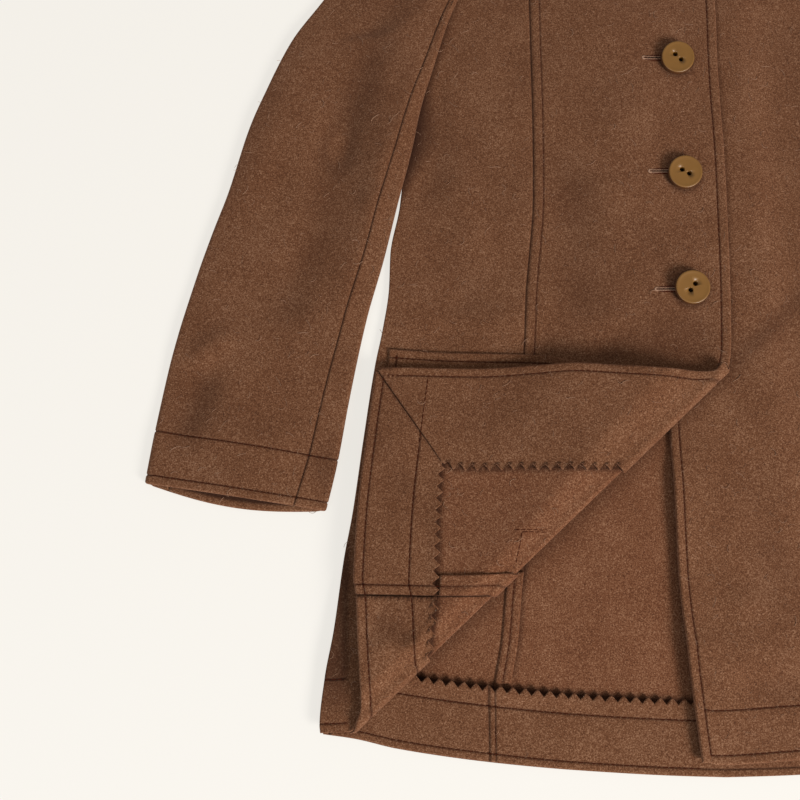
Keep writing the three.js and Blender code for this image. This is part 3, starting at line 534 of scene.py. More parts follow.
def plainMaterial(name, code, roughness, specular=0.3):
    material = newMaterial(name)
    tree = material.node_tree
    place = addNode(tree, "ShaderNodeTexCoord").outputs["Object"]
    noise = addNode(tree, "ShaderNodeTexNoise", [(place, "Vector")], Scale=700.0, Detail=3.0)
    ramp = addNode(tree, "ShaderNodeValToRGB", [(noise.outputs["Fac"], "Fac")])
    ramp.color_ramp.elements[0].color = [v * 0.8 for v in linear(code)[:3]] + [1]
    ramp.color_ramp.elements[1].color = [min(1, v * 1.2) for v in linear(code)[:3]] + [1]
    shader = addNode(tree, "ShaderNodeBsdfPrincipled", [(ramp.outputs["Color"], "Base Color")],
                     Roughness=roughness)
    shader.inputs["Specular IOR Level"].default_value = specular
    finishMaterial(tree, shader)
    return material


woolFace = feltedWool("feltedWool", wool["deep"], wool["middle"], wool["light"])
woolWrong = feltedWool("feltedWoolWrongSide", "#442515", "#653d26", "#8f694f")  # unworn, so a shade lighter
# Sewing thread, spun polyester, twisted hard: matt and deeper than the wool, so it reads as a fine dark line
threadBrown = plainMaterial("polyesterThread", "#3d190b", 0.9, 0.05)
# Buttonhole twist, a thick soft thread: paler than the wool, and round enough to catch the light
buttonholeThread = plainMaterial("buttonholeTwist", "#a07c64", 0.6)
# Wool fibre that has worked loose from the nap: matt, with painted light: paler than the cloth, as a loose
# fibre stands up in the light
fibreBrown = plainMaterial("looseWoolFibre", "#92705a", 0.9, 0.1)

print("coat: back")

sewing = {
    "pitch": 4.8,  # of the stitches
    "long": 4.3,  # what shows of one
    "thick": 0.8,
    "toothPitch": 9.2,
    "toothDepth": 5.2,
    "pinkedLift": 2.2,  # how far a pinked edge stands up
}


def tooth(n):
    return (np.abs(np.mod(n, 2) - 1) - 0.5) * sewing["toothDepth"]


backCloth = {
    "hemDepth": 53,  # the hem inside, up to its pinked edge
    "hemLines": (39.6, 5.8),  # heights of its stitches
    "allowance": 12,
    "allowanceThick": 1.4,
    "seamStitch": 5.5,  # from the seam, through its allowances
    "hemSeamStitch": 4.9,  # from the same seam, across the hem
}


def panelPattern(left, right, top, hem, columns, rows):
    # places of a panel's grid between its two seams, its top and its hem
    share, inset = columns
    down, height = rows
    guess = mix(left(60), right(60), share) + inset
    y = mix(top(share), hem(guess) + height, down)
    return mix(left(y), right(y), share) + inset, y


def backPanel(name, node, left, right, top, width, free):
    # free gives the distance from the coat's side edge
    columns = gridColumns(width, 4.2)
    rows = gridRows(760, 5.0, [backCloth["hemDepth"]], 66)
    x, y = panelPattern(left, right, top, backHemY, columns, rows)
    fall = edgeFall(np.minimum(y - backHemY(x), free(x, y)), 0.95)
    seam = np.minimum(x - left(y), right(y) - x).clip(0)
    low = placeBack(x, y, fall * 0.9)
    high = placeBack(x, y, cloth - fall - 0.3 * np.exp(-seam / 0.5))
    # painted shade in the seam, beside the folded corner, along the allowance's raw edge and under the hem's
    # raised pinked edge
    pressed = np.maximum(0.4 * seamShade(seam) * (free(x, y) > 5), shadeUnderFold(x, y))
    besideAllowance = x + smoothAt(backSeam, y) - 1.6 - backCloth["allowance"]
    pressed = pressed + 0.5 * np.exp(-((besideAllowance / 1.3) ** 2)) * fade(y, 74, 68)
    pressed = pressed + pinkedShade(y - backHemY(x) - backCloth["hemDepth"])
    return clothPiece(name, low, high, woolWrong, [node], cutArea(x, y),
                      pressed=pressed)


backPanel("backCentre", "back_centre",
          lambda y: -smoothAt(backSeam, y) + closeGap / 2, lambda y: smoothAt(backSeam, y) - closeGap / 2,
          lambda u: straightAt(backTop, np.minimum(u, 1 - u)), 350, lambda x, y: noEdge + 0 * x)
backPanel("backSideRight", "back_side_right",
          lambda y: -sideX(y) + 1.5, lambda y: -smoothAt(backSeam, y) - closeGap / 2,
          lambda u: straightAt(sideTop, u), 130, lambda x, y: x + sideX(y) - 1.5)
backPanel("backSideLeft", "back_side_left",
          lambda y: smoothAt(backSeam, y) + closeGap / 2, lambda y: sideX(y) - 1.5,
          lambda u: straightAt(sideTop, 1 - u), 130, lambda x, y: sideX(y) - 1.5 - x)


def backHemPiece(name, node, start, end, seamStitch):
    halves = round(2 * (end - start) / sewing["toothPitch"])
    n = np.linspace(0, halves, halves * 2 + 1)
    if seamStitch:
        n = np.unique(np.concatenate([n, (seamStitch + np.array([0, *lineStops])) / (end - start) * halves]))
    x = mix(start, end, n / halves)[:, None]
    deep = backCloth["hemDepth"]
    up = np.array([gridStops(deep - 7, backCloth["hemLines"], 2.4) + [deep - 4, deep - 1.2, deep]])
    y = backHemY(x) + up + tooth(n)[:, None] * fade(up, deep, deep - 6)
    x = x + 0 * y
    sewn = sewnLines(up, backCloth["hemLines"], x)
    if seamStitch:
        sewn = sewn + furrow(x - start - seamStitch, y)
    pinked = edgeFall(deep - up, 0.5)
    fall = edgeFall(up, 1.7) + pinked
    seam = np.minimum(x - start, end - x)
    stand = layer + sewing["pinkedLift"] * fade(deep - up, 0, 13) * fade(x, -50, -32)
    low = placeBack(x, y, stand + 0.3 * pinked)
    high = placeBack(x, y, stand + cloth - fall - sewn - 0.6 * np.exp(-seam / 0.8))
    # painted shade in the stitch furrows and the seams
    pressed = sewnShades(up, backCloth["hemLines"]) + 0.6 * seamShade(seam)
    if seamStitch:
        pressed = pressed + sewnShade(x - start - seamStitch)
    return clothPiece(name, low, high, woolFace, [node], cutArea(x, y),
                      pressed=pressed)


backSeamFoot = float(smoothAt(backSeam, 30))
backHemPiece("backHemSideRight", "back_hem_side_right", -292, -backSeamFoot - closeGap / 2, 0)
backHemPiece("backHemCentre", "back_hem_centre", -backSeamFoot + closeGap / 2, backSeamFoot,
             backCloth["hemSeamStitch"])


def backAllowancePiece():
    up = np.linspace(0, 1, 44)[:, None]
    out = np.array(gridStops(6, [backCloth["seamStitch"]], 1.2, [0, 0.3, 0.9])
                   + [7.5, 8.7, 10, 11, 11.6, backCloth["allowance"]])[None, :]
    foot = float(backHemY(170)) + backCloth["hemDepth"] + sewing["toothDepth"] / 2 + 2 * gap
    y = mix(foot, 150, up)
    x = 1 - smoothAt(backSeam, y) + out
    y = np.minimum(y, fold["upper"][1] + (x - fold["upper"][0]) * alongY / alongX - 2)
    rest = edgeFall(backCloth["allowance"] - out, 0.6)
    sewn = furrow(out - backCloth["seamStitch"], y, 0.45)
    low = placeBack(x, y, layer + rest * 0.3)
    high = placeBack(x, y, layer + backCloth["allowanceThick"] - rest - sewn - 0.9 * np.exp(-out / 1.2))
    # painted shade in its stitch furrow and along the seam
    return clothPiece("backAllowanceRight", low, high, woolWrong, ["back_allowance_right"],
                      cutArea(x, y),
                      pressed=sewnShade(out - backCloth["seamStitch"]) + 0.5 * seamShade(out, 0.5))


backAllowancePiece()

print("coat: left front")

leftCloth = {"edgeStitch": 7.0, "hemLines": (38.5, 6.8), "seamStitch": 8.2}
pressedSeam = 0.55  # how far the allowances raise the cloth beside a seam
hiddenFacing = (73, 77)  # from the front edge, where a hidden facing ends
hiddenHem = (44, 48)  # above the hem, where a hidden turning ends


def seamStrip(distance):
    return pressedSeam * fade(distance, 3, 0) * fade(distance, 7, 10)


def leftWall(x, y, edge, seam, seamStrips):
    # low and high side of the left front, with its turned hem and facing
    hem = y - leftHemY(x)
    inside = edge > leftCloth["edgeStitch"]
    turned = np.maximum(fade(edge, *hiddenFacing), fade(hem, *hiddenHem))
    fall = edgeFall(np.minimum(edge, hem), 1.95)
    sewn = furrow(edge - leftCloth["edgeStitch"], y) * (hem > 3)
    sewn = sewn + sewnLines(hem, leftCloth["hemLines"], x) * inside
    # painted shade in the stitch furrows, the seam and beside the folded corner
    pressed = np.maximum(sewnShade(edge - leftCloth["edgeStitch"]) * (hem > 6), seamShade(seam))
    pressed = pressed + sewnShades(hem, leftCloth["hemLines"]) * inside
    raised = 0
    if seamStrips:
        raised = seamStrip(seam)
        sewn = sewn + furrow(seam - leftCloth["seamStitch"], y)
        pressed = pressed + sewnShade(seam - leftCloth["seamStitch"])
    low = -layer * turned + fall * 0.6
    high = cloth - fall - sewn - seamShade(seam, 0.9) + raised
    return low, high, np.maximum(pressed, shadeUnderFold(x, y))


def frontLeftCentre():
    columns = gridColumns(195, 3.4, [leftCloth["edgeStitch"]], [leftCloth["seamStitch"]])
    rows = gridRows(655, 2.6, leftCloth["hemLines"])
    x, y = panelPattern(leftEdgeX, lambda y: smoothAt(frontSeam, y) - gap / 2,
                        lambda u: straightAt(frontTop, 1 - u), leftHemY, columns, rows)
    low, high, pressed = leftWall(x, y, x - leftEdgeX(y), smoothAt(frontSeam, y) - gap / 2 - x, True)
    return clothPiece("frontLeftCentre", placeLeft(x, y, low), placeLeft(x, y, high), woolFace,
                      ["front_left_centre"], cutArea(x, y),
                      pressed=pressed)


def frontLeftSide():
    columns = gridColumns(122, 4.2)
    rows = gridRows(730, 4.0, leftCloth["hemLines"])
    x, y = panelPattern(lambda y: smoothAt(frontSeam, y) + gap / 2, sideX,
                        lambda u: straightAt(sideTop, 1 - u), leftHemY, columns, rows)
    edge = sideX(y) - x
    low, high, pressed = leftWall(x, y, edge + 200, x - smoothAt(frontSeam, y) - gap / 2, False)
    fall = edgeFall(edge, 0.95)
    low = placeLeft(x, y, low + fall * 0.6)
    high = placeLeft(x, y, high - fall)
    return clothPiece("frontLeftSide", low, high, woolFace, ["front_left_side"], cutArea(x, y),
                      pressed=pressed)


frontLeftCentre()
frontLeftSide()

print("coat: right front and its fold")

rightCloth = {
    "edgeStitch": 8.0,
    "seamStitch": 8.2,
    "hemLines": (38, 6.5),
    "mitreHeight": 86,  # where the facing's pinked edge meets the hem's
    "hemEnd": 76,  # from the front edge, where the hem's pinked edge stops
    "facingWidth": [(86, 76.4), (98, 79.4), (140, 80.6), (180, 83), (200, 82.6), (222, 80.4), (300, 78)],
    "flapHem": 61,  # hem on the folded corner, up to its pinked edge
    "flapHemDepth": [(-300, 46), (-232, 48), (-212, 54), (-190, 57.6), (-168, 61.6), (-148, 62.6), (-110, 62),
                     (-70, 61)],
    "flapHemStitch": 42,
    "flapEdgeStitch": 7.2,
    "allowanceStitch": 7.4,  # from the seam, as the seam's stitches come out on the wrong side
}
flapLines = (rightCloth["flapEdgeStitch"], rightCloth["flapHemStitch"])
hiddenStop = (-13, -11)  # past the fold's axis, where the hidden facing and hem give way to the folded ones
buttonLook = {
    "radius": 14,
    "thick": 4.8,
    "holeRadius": 2.05,
    "holeSpacing": 6.6,
    "shank": 1.3,  # thread between button and cloth
    "x": -4.4,
    "rows": [(686, -20, 5.2), (580.9, -44, 6.6), (475.9, -30, 5.6), (376, 53, 4.8)],  # height, turn, tilt
}
hemCorner = (float(rightSeamX(27)), float(rightHemY(-176)))  # princess seam at the hem
flapCorner = (1.8, 29.4)  # front edge at the hem
hemCornerPast = float(pastFold(*hemCorner))
flapCornerPast = float(pastFold(*flapCorner))
rollStops = [foldEnd * k / 14 for k in range(1, 15)]
beforeFold = [-60 + 2.5 * k for k in range(24)] + [-1.4]


def onUpright(xAt, past):
    # where an upright line is so far past the fold
    y = whereIs(20, 330, past, lambda at: pastFold(xAt(at), at))
    return xAt(y), y


def onRightHem(past):
    # where the hem is so far past the fold
    x = whereIs(-299, 3, past, lambda at: pastFold(at, rightHemY(at)))
    return x, rightHemY(x)


def ribs(start, end, share, inset):
    # points on straight ribs, at shares of their length with distances added
    length = np.hypot(end[0] - start[0], end[1] - start[1])
    at = np.clip(share + inset / np.maximum(length, 0.01), 0, 1)
    at = np.maximum.accumulate(at, 1)
    return mix(start[0], end[0], at), mix(start[1], end[1], at)


def column(values):
    return np.array(values, float)[:, None]


def facingWidth(y):
    return smoothAt(rightCloth["facingWidth"], y)


def hemHeight(x, down):
    # height over the hem of a grid line, as the allowance beyond the stitches narrows towards the side
    sewnTo = rightCloth["flapHemStitch"] + 1.5
    reach = (smoothAt(rightCloth["flapHemDepth"], x) - sewnTo) / (rightCloth["flapHem"] - sewnTo)
    return down + (down - sewnTo).clip(0) * (reach - 1)


def shadeBesidePinked(x, y):
    # painted shadow on the folded corner along the raised pinked edges of its facing and hem
    facing = rightEdgeX(y) - facingWidth(y) - x
    hem = y - rightHemY(x) - smoothAt(rightCloth["flapHemDepth"], x)
    shade = np.maximum(pinkedShade(facing) * fade(hem, -1, -4), pinkedShade(hem) * fade(facing, -1, -4))
    return shade * fade(np.minimum(facing, hem), -3, -6) * fade(pastFold(x, y), 6, 3)


def rightWall(x, y, edge, seam):
    # low and high side of the right front's centre panel, with the facing that is hidden under it
    past = pastFold(x, y)
    facing = fade(edge, *hiddenFacing) * fade(past, *hiddenStop)
    fall = edgeFall(edge, 1.95)
    sewn = furrow(edge - rightCloth["edgeStitch"], y) + furrow(seam - rightCloth["seamStitch"], y)
    sewn = sewn + seamShade(seam, 0.9)
    raised = seamStrip(seam) * fade(past, -6, 0)
    low = fall * mix(0.1, 0.6, facing) - layer * facing
    # painted shade in the stitch furrows and the seam, and painted shadow beside the pinked edges
    lines = sewnShade(edge - rightCloth["edgeStitch"]) + sewnShade(seam - rightCloth["seamStitch"])
    pressed = np.maximum(seamShade(seam) + lines * fade(past, -2, 4), shadeBesidePinked(x, y))
    # a painted shadow ring round each button
    for height, _, _ in buttonLook["rows"]:
        away = np.hypot(x - buttonLook["x"], y - height) - buttonLook["radius"]
        pressed = np.maximum(pressed, 0.42 * fade(away, 0, 4.5))
    return low, cloth - fall - sewn * fade(past, 0, 6) + raised, pressed


def frontRightCentre():
    share, inset = gridColumns(190, 3.2, [rightCloth["seamStitch"]], [rightCloth["edgeStitch"]])

    def left(y):
        return rightSeamX(y) + gap / 2

    def xAt(y):
        return mix(left(y), rightEdgeX(y), share) + inset

    def foldY(past):
        return whereIs(20, 330, past + 0 * share, lambda y: pastFold(xAt(y), y))

    top = straightAt(frontTop, share)
    downTo = foldY(-60)
    count = 172
    down = column([*(stop / 500 for stop in edgeStops[:-1]), *(k / count for k in range(1, count + 1))])
    upper = mix(top, downTo, down)
    near = np.vstack([foldY(past) for past in [*beforeFold[1:], 0]])
    bodyY = np.vstack([upper, near])
    bodyX = xAt(bodyY)
    first = column([*rollStops, *np.arange(foldEnd + 2.4, hemCornerPast, 2.4), hemCornerPast])
    x1, y1 = ribs(onUpright(left, first), onUpright(rightEdgeX, first), share, inset)
    second = column([*np.arange(hemCornerPast + 2.4, flapCornerPast - 3, 3.0), flapCornerPast - 1.6])
    x2, y2 = ribs(onRightHem(second), onUpright(rightEdgeX, second), share, inset)
    x = np.vstack([bodyX, x1, x2])
    y = np.vstack([bodyY, y1, y2])
    edge = np.where(pastFold(x, y) > hemCornerPast, np.minimum(y - rightHemY(x), rightEdgeX(y) - x),
                    rightEdgeX(y) - x)
    low, high, pressed = rightWall(x, y, edge, x - left(y))
    return clothPiece("frontRightCentre", placeRight(x, y, low), placeRight(x, y, high), woolFace,
                      ["front_right_centre"], cutArea(x, y),
                      woolWrong, pressed)


# Sleeve sections from the cuff to the shoulder: outer edge x, y, inner edge x, y, the front seam's distance
# in from the inner edge, and the radius of the edges
sleeveRows = [(-438.4, 218, -298.5, 196.5, 24, 3.3), (-432.5, 260, -289.5, 237, 22, 3.3),
              (-423.5, 314, -281.5, 284, 20, 2.4), (-408, 378.6, -268, 352, 17, 2.3),
              (-395, 423, -254, 404, 16, 2.3), (-381.7, 463.7, -243, 450, 15, 2.3),
              (-367, 519, -231.6, 497, 13, 2.3), (-352.7, 557.5, -223, 539.5, 10, 2.3),
              (-332.4, 603, -212, 577, 8, 2.3), (-306, 643, -199, 620, 6, 2.3),
              (-281, 682, -183, 660, 5, 2.3), (-252, 725, -172, 705, 5, 2.3),
              (-222, 768, -178, 757, 5, 2.3), (-199, 800, -183, 789, 5, 2.3)]


def shadeBesideSleeve(x, y):
    # painted shade on the side panel along the sleeve's inner edge, in the crevice under it
    innerX = smoothAt([(row[3], row[2]) for row in sleeveRows], y)
    reach = 8 + 18 * fade(np.abs(y - 512), 0, 60)
    return fade(x - innerX, -4, reach) * fade(y, 455, 415) * fade(y, 560, 690)


def frontRightSide():
    def left(y):
        return -sideX(y)

    def right(y):
        return rightSeamX(y) - gap / 2

    # outside the fold's lower end a strip of the hem stays unfolded: it has its own columns
    foot = onRightHem(np.zeros(1))
    footX, footY = float(foot[0][0]), float(foot[1][0])
    footShare = (footX - float(left(footY))) / float(right(footY) - left(footY))
    innerShare, inset = gridColumns(115, 3.4)
    outerShare = np.array([[*edgeStops, 5.5, 8, 11, 14.5, 18]]) / (footX - float(left(footY)))
    outerShare = outerShare[outerShare < 0.97][None, :]
    outside = outerShare.shape[1]

    def xAt(y):
        start = mix(left(y), right(y), footShare)
        return np.hstack([mix(left(y[:, :outside]), start[:, :outside], outerShare),
                          mix(start[:, outside:], right(y[:, outside:]), innerShare) + inset])

    columns = outside + innerShare.shape[1]
    heights = [*edgeStops, *(line + near for line in rightCloth["hemLines"] for near in lineStops)]
    stripRows = sorted({*beforeFold, *(height * acrossY for height in heights)})

    def levelAt(past):
        goal = np.full((1, columns), float(past))
        crossing = whereIs(20, 420, goal, lambda y: pastFold(xAt(y), y))
        hem = rightHemY(xAt(np.full((1, columns), 33.0)))
        plain = hem + past / acrossY
        return np.hstack([plain[:, :outside], crossing[:, outside:]])

    allShare = np.hstack([outerShare * footShare, mix(footShare, 1, innerShare)])
    top = straightAt(sideTop, allShare)
    downTo = levelAt(-60)
    count = 250
    down = column([*(stop / 650 for stop in edgeStops[:-1]), *(k / count for k in range(1, count + 1))])
    bodyY = np.vstack([mix(top, downTo, down), *(levelAt(past) for past in stripRows if past > -60)])
    bodyX = xAt(bodyY)
    past = column([*rollStops, *np.arange(foldEnd + 2.4, hemCornerPast - 2, 2.4), hemCornerPast - 1])
    startX, startY = onRightHem(past)
    xIn, yIn = ribs((startX, startY), onUpright(right, past), innerShare, inset)
    xOut = np.repeat(startX, outside, 1)
    yOut = np.repeat(startY, outside, 1)
    x = np.vstack([bodyX, np.hstack([xOut, xIn])])
    y = np.vstack([bodyY, np.hstack([yOut, yIn])])
    isStrip = np.zeros(x.shape, bool)
    isStrip[: len(bodyY), :outside] = True
    hem = np.where(isStrip | (pastFold(x, y) > 0), y - rightHemY(x), noEdge)
    side = np.where(pastFold(x, y) <= 0, x - left(y), noEdge)
    strip = fade(x, footX, footX + 4) * (pastFold(x, y) < -1)
    hemHere = y - rightHemY(x)
    sewn = sewnLines(hemHere, rightCloth["hemLines"], x) * strip
    # painted shade in the seam, the stitch furrows, beside the pinked edges and beside the sleeve, and a
    # painted shadow of the folded corner on the strip of hem outside it
    cornerShadow = 0.6 * fade(np.abs(y - 120), 40, 90)
    pressed = seamShade(right(y) - x) + shadeBesidePinked(x, y) + shadeBesideSleeve(x, y)
    pressed = pressed + (sewnShades(hemHere, rightCloth["hemLines"]) + cornerShadow) * strip
    closed = seamShade(right(y) - x, 0.9) * fade(pastFold(x, y), 0, 6)
    fall = np.maximum(edgeFall(hem, 0.95), edgeFall(side, 0.95))
    turned = fade(hemHere, 46, 50) * fade(hemHere, 20, 16) * fade(pastFold(x, y), *hiddenStop)
    low = placeRight(x, y, fall * 0.6 - layer * turned * (hemHere > 16))
    high = placeRight(x, y, cloth - fall - sewn - closed)
    return clothPiece("frontRightSide", low, high, woolFace, ["front_right_side"],
                      cutArea(x, y), woolWrong, pressed)


frontRightCentre()
frontRightSide()

print("coat: facing, hem and allowances of the folded corner")

pinkedStops = [0, 0.35, 0.9, 2.2, 4.6, 7]
turnedLow, turnedHigh = -layer - slack, -gap - slack  # offsets of what lies on the wrong side
rollBefore = [fold["underneath"] * (1 - k / 7) for k in range(8)]


def turnedSides(x, y, edge, pinked, sewn, pinkedShare):
    # the two sides of what is turned in. The shown one is the low one, as the corner is wrong side up
    fall = edgeFall(edge, 1.85)
    cut = edgeFall(pinked, 0.5)
    stand = 0.4 * sewing["pinkedLift"] * fade(pinked, 0, 7) * pinkedShare
    low = turnedLow - stand + fall + cut + sewn
    return placeRight(x, y, low), placeRight(x, y, turnedHigh - stand - 0.2 * cut)


def frontRightFacing():
    def pinkX(y):
        return rightEdgeX(y) - facingWidth(y)

    mitreY = float(rightCloth["mitreHeight"])
    mitreX = float(pinkX(mitreY))
    mitrePast = float(pastFold(mitreX, mitreY))
    axisY = float(onUpright(pinkX, np.zeros(1))[1][0])
    teeth = round(2 * (axisY - mitreY) / sewing["toothPitch"])
    flatN = np.arange(0, teeth + 0.25, 0.5)
    flatY = mix(axisY, mitreY, flatN / teeth)
    flatY = flatY[pastFold(pinkX(flatY), flatY) > foldEnd + 0.8]
    rollY = onUpright(pinkX, np.array([*rollBefore, *rollStops]))[1]
    y0 = np.concatenate([rollY, flatY])[:, None]
    past = pastFold(pinkX(y0), y0)
    share, inset = gridColumns(104, 3.0, (), [rightCloth["flapEdgeStitch"] / -acrossY], pinkedStops)
    end = onUpright(rightEdgeX, past)
    x1, y1 = ribs((pinkX(y0), y0), end, share, inset)
    length = np.hypot(end[0] - pinkX(y0), end[1] - y0)
    away = share * length + inset
    cut = tooth((axisY - y0) / (axisY - mitreY) * teeth) * fade(away, 0, 6) * (y0 > mitreY + 0.01)
    x1 = x1 - cut
    past2 = column([*np.arange(mitrePast + 2.4, flapCornerPast - 3, 2.4), flapCornerPast - 1.4])
    down = (past2 - mitrePast) / (flapCornerPast - mitrePast)
    start2 = (mix(mitreX, flapCorner[0], down) + gap, mix(mitreY, flapCorner[1], down))
    end2 = onUpright(rightEdgeX, past2)
    x2, y2 = ribs(start2, end2, share, inset)
    x, y = np.vstack([x1, x2]), np.vstack([y1, y2])
    mitre = np.hypot(x2 - start2[0], y2 - start2[1]) * 0.9
    pinked = np.vstack([away, mitre])
    edge = rightEdgeX(y) - x
    standing = np.vstack([fade(y0 - mitreY, 9, 0) * fade(past, 8, 2), 0 * past2]) + 0 * x
    low, high = turnedSides(x, y, edge, pinked, furrow(edge - rightCloth["flapEdgeStitch"], y), standing)
    # painted shade in the stitch furrow and along the mitre
    pressed = sewnShade(edge - rightCloth["flapEdgeStitch"]) * fade(pastFold(x, y), 4, 0)
    pressed[len(y0):] += 0.6 * seamShade(mitre)
    return clothPiece("frontRightFacing", low, high, woolFace, ["front_right_facing"],
                      cutArea(x, y), pressed=pressed)


def hemColumns():
    # across a turned hem, from its edge to its pinked edge
    near = gridStops(rightCloth["flapHem"] - 8, flapLines, 2.6)
    far = [rightCloth["flapHem"] - stop for stop in reversed(pinkedStops)]
    return np.array([near + far[1:] if far[0] - near[-1] < 1.2 else near + far])


def frontRightHemCentre():
    startHem = float(rightSeamX(28)) + gap
    startTop = float(rightSeamX(88)) + gap
    mitreX = float(rightEdgeX(rightCloth["mitreHeight"])) - rightCloth["hemEnd"] - gap
    halves = round(2 * (mitreX - startTop) / sewing["toothPitch"])
    seamLine = rightCloth["allowanceStitch"] / (mitreX - startHem) * halves
    near = [seamLine + stop * halves / (mitreX - startHem) for stop in lineStops]
    edge = [stop * halves / (mitreX - startHem) for stop in edgeStops[:5]]
    n = np.unique(np.concatenate([np.arange(0, halves + 0.25, 0.5), near, edge]))[:, None]
    down = hemColumns()
    upShare = down / rightCloth["flapHem"]
    x1 = mix(mix(startHem, mitreX, n / halves), mix(startTop, mitreX, n / halves), upShare)
    cut = tooth(n) * (n < halves)
    y1 = rightHemY(x1) + hemHeight(x1, down) - cut * fade(rightCloth["flapHem"] - down, 0, 6)
    share = column([*np.arange(0.03, 0.97, 0.03), 0.985])
    x2 = mix(mitreX, flapCorner[0] - 1, share) + 0 * down
    room = mix(rightCloth["mitreHeight"], flapCorner[1], share) - gap - rightHemY(x2)
    down2 = np.minimum(down, room)
    y2 = rightHemY(x2) + down2
    x, y = np.vstack([x1, x2]), np.vstack([y1, y2])
    hem = y - rightHemY(x)
    pinked = np.vstack([rightCloth["flapHem"] - down + 0 * x1, np.maximum(room - down2, 0) * 0.8])
    seam = np.vstack([x1 - mix(startHem, startTop, upShare), noEdge + 0 * x2])
    sewn = sewnLines(hem, flapLines, x) + furrow(seam - rightCloth["allowanceStitch"], y)
    sewn = sewn + 0.6 * seamShade(seam)
    standing = np.vstack([fade(mitreX - x1, 9, 0), 0 * x2])
    low, high = turnedSides(x, y, hem, pinked, sewn, standing)
    # painted shade in the stitch furrows, the seam and along the mitre
    pressed = sewnShades(hem, flapLines) + sewnShade(seam - rightCloth["allowanceStitch"]) + seamShade(seam)
    pressed[len(n):] += 0.6 * seamShade(pinked[len(n):])
    return clothPiece("frontRightHemCentre", low, high, woolFace, ["front_right_hem_centre"],
                      cutArea(x, y), pressed=pressed)


def frontRightHemSide():
    def seam(y):
        return rightSeamX(y) - gap

    def onRib(past, down):
        x = whereIs(-320, 3, past + 0 * down, lambda at: pastFold(at, rightHemY(at) + hemHeight(at, down)))
        return x, rightHemY(x) + hemHeight(x, down)

    down = hemColumns()
    topX = float(seam(90))
    topY = rightHemY(topX) + hemHeight(np.array(topX), np.array(float(rightCloth["flapHem"])))
    seamTopPast = float(pastFold(topX, topY))
    teeth = round(seamTopPast / (sewing["toothPitch"] / 2 * acrossX))
    flat = np.arange(0, teeth + 0.25, 0.5) / teeth * seamTopPast
    past1 = column([*rollBefore, *rollStops, *flat[flat > foldEnd + 0.8]])
    x1, y1 = onRib(past1, down)
    cut = tooth(past1 * teeth / seamTopPast) * fade(rightCloth["flapHem"] - down, 0, 6)
    y1 = y1 - cut * (past1 < seamTopPast - 0.01)
    past2 = column([*np.arange(seamTopPast + 2.4, hemCornerPast - 3, 2.4), hemCornerPast - 1.5])
    seamX, seamY = onUpright(seam, past2)
    x2, y2 = onRib(past2, np.minimum(down, seamY - rightHemY(seamX)))
    x, y = np.vstack([x1, x2]), np.vstack([y1, y2])
    hem = y - rightHemY(x)
    pinked = np.vstack([rightCloth["flapHem"] - down + 0 * x1, 9 + 0 * x2])
    beside = (seam(y) - x).clip(0)
    # the closed seam's groove, which also carries painted shade
    closed = seamShade(beside) * (x > topX - 20)
    standing = np.vstack([fade(past1, 8, 2), fade(past2 - seamTopPast, 6, 12)]) + 0 * x
    low, high = turnedSides(x, y, hem, pinked, sewnLines(hem, flapLines, x) + 0.7 * closed, standing)
    # painted shade in the seam and the stitch furrows
    pressed = closed + sewnShades(hem, flapLines) * fade(pastFold(x, y), 4, 0)
    return clothPiece("frontRightHemSide", low, high, woolFace, ["front_right_hem_side"],
                      cutArea(x, y), pressed=pressed)


def frontRightAllowance():
    out = np.array([[0, 0.4, 1.2, 2.5, 4, 5.4, 6.4, 7.2, 8, 9.4, 11, 13, 14.4, 15.2, 15.6]])
    steps = column([*np.arange(0, 9.6, 0.8), *np.arange(11, 60, 2.4)])
    first = foldEnd * 0.55

    def at(y):
        return rightSeamX(y) + gap + out

    topY = whereIs(20, 330, first + 0 * out, lambda y: pastFold(at(y), y))
    foot = float(rightHemY(-170)) + rightCloth["flapHem"] + sewing["toothDepth"] / 2 + gap
    y = mix(topY, foot, steps / steps[-1])
    x = at(y)
    raw = edgeFall(out[0, -1] - out, 0.7)
    fromStitch = out + gap - rightCloth["allowanceStitch"]
    sewn = furrow(fromStitch, y, 0.5) + 0 * x
    low = placeRight(x, y, turnedLow + sewn + raw + 0.5 * np.exp(-out / 0.6))
    high = placeRight(x, y, turnedHigh - 0.1 * raw)
    # painted shade in its stitch furrow and along its seam edge
    return clothPiece("frontRightAllowance", low, high, woolWrong, ["front_right_allowance"],
                      cutArea(x, y),
                      pressed=sewnShade(fromStitch) + seamShade(out, 0.5))


frontRightFacing()
frontRightHemCentre()
frontRightHemSide()
frontRightAllowance()

print("coat: pockets")

pocketCloth = {
    "topEdge": [(-249, 327), (-193, 323.5), (-149, 322), (-124, 321), (-105, 317), (-97, 314)],
    "foot": 141,
    "outer": (-262, -248.8),  # at the foot and at the top
    "inner": (-112, -100),
    "top": 325,
    "topStitch": 7.4,
    "sideStitch": 6.4,
}


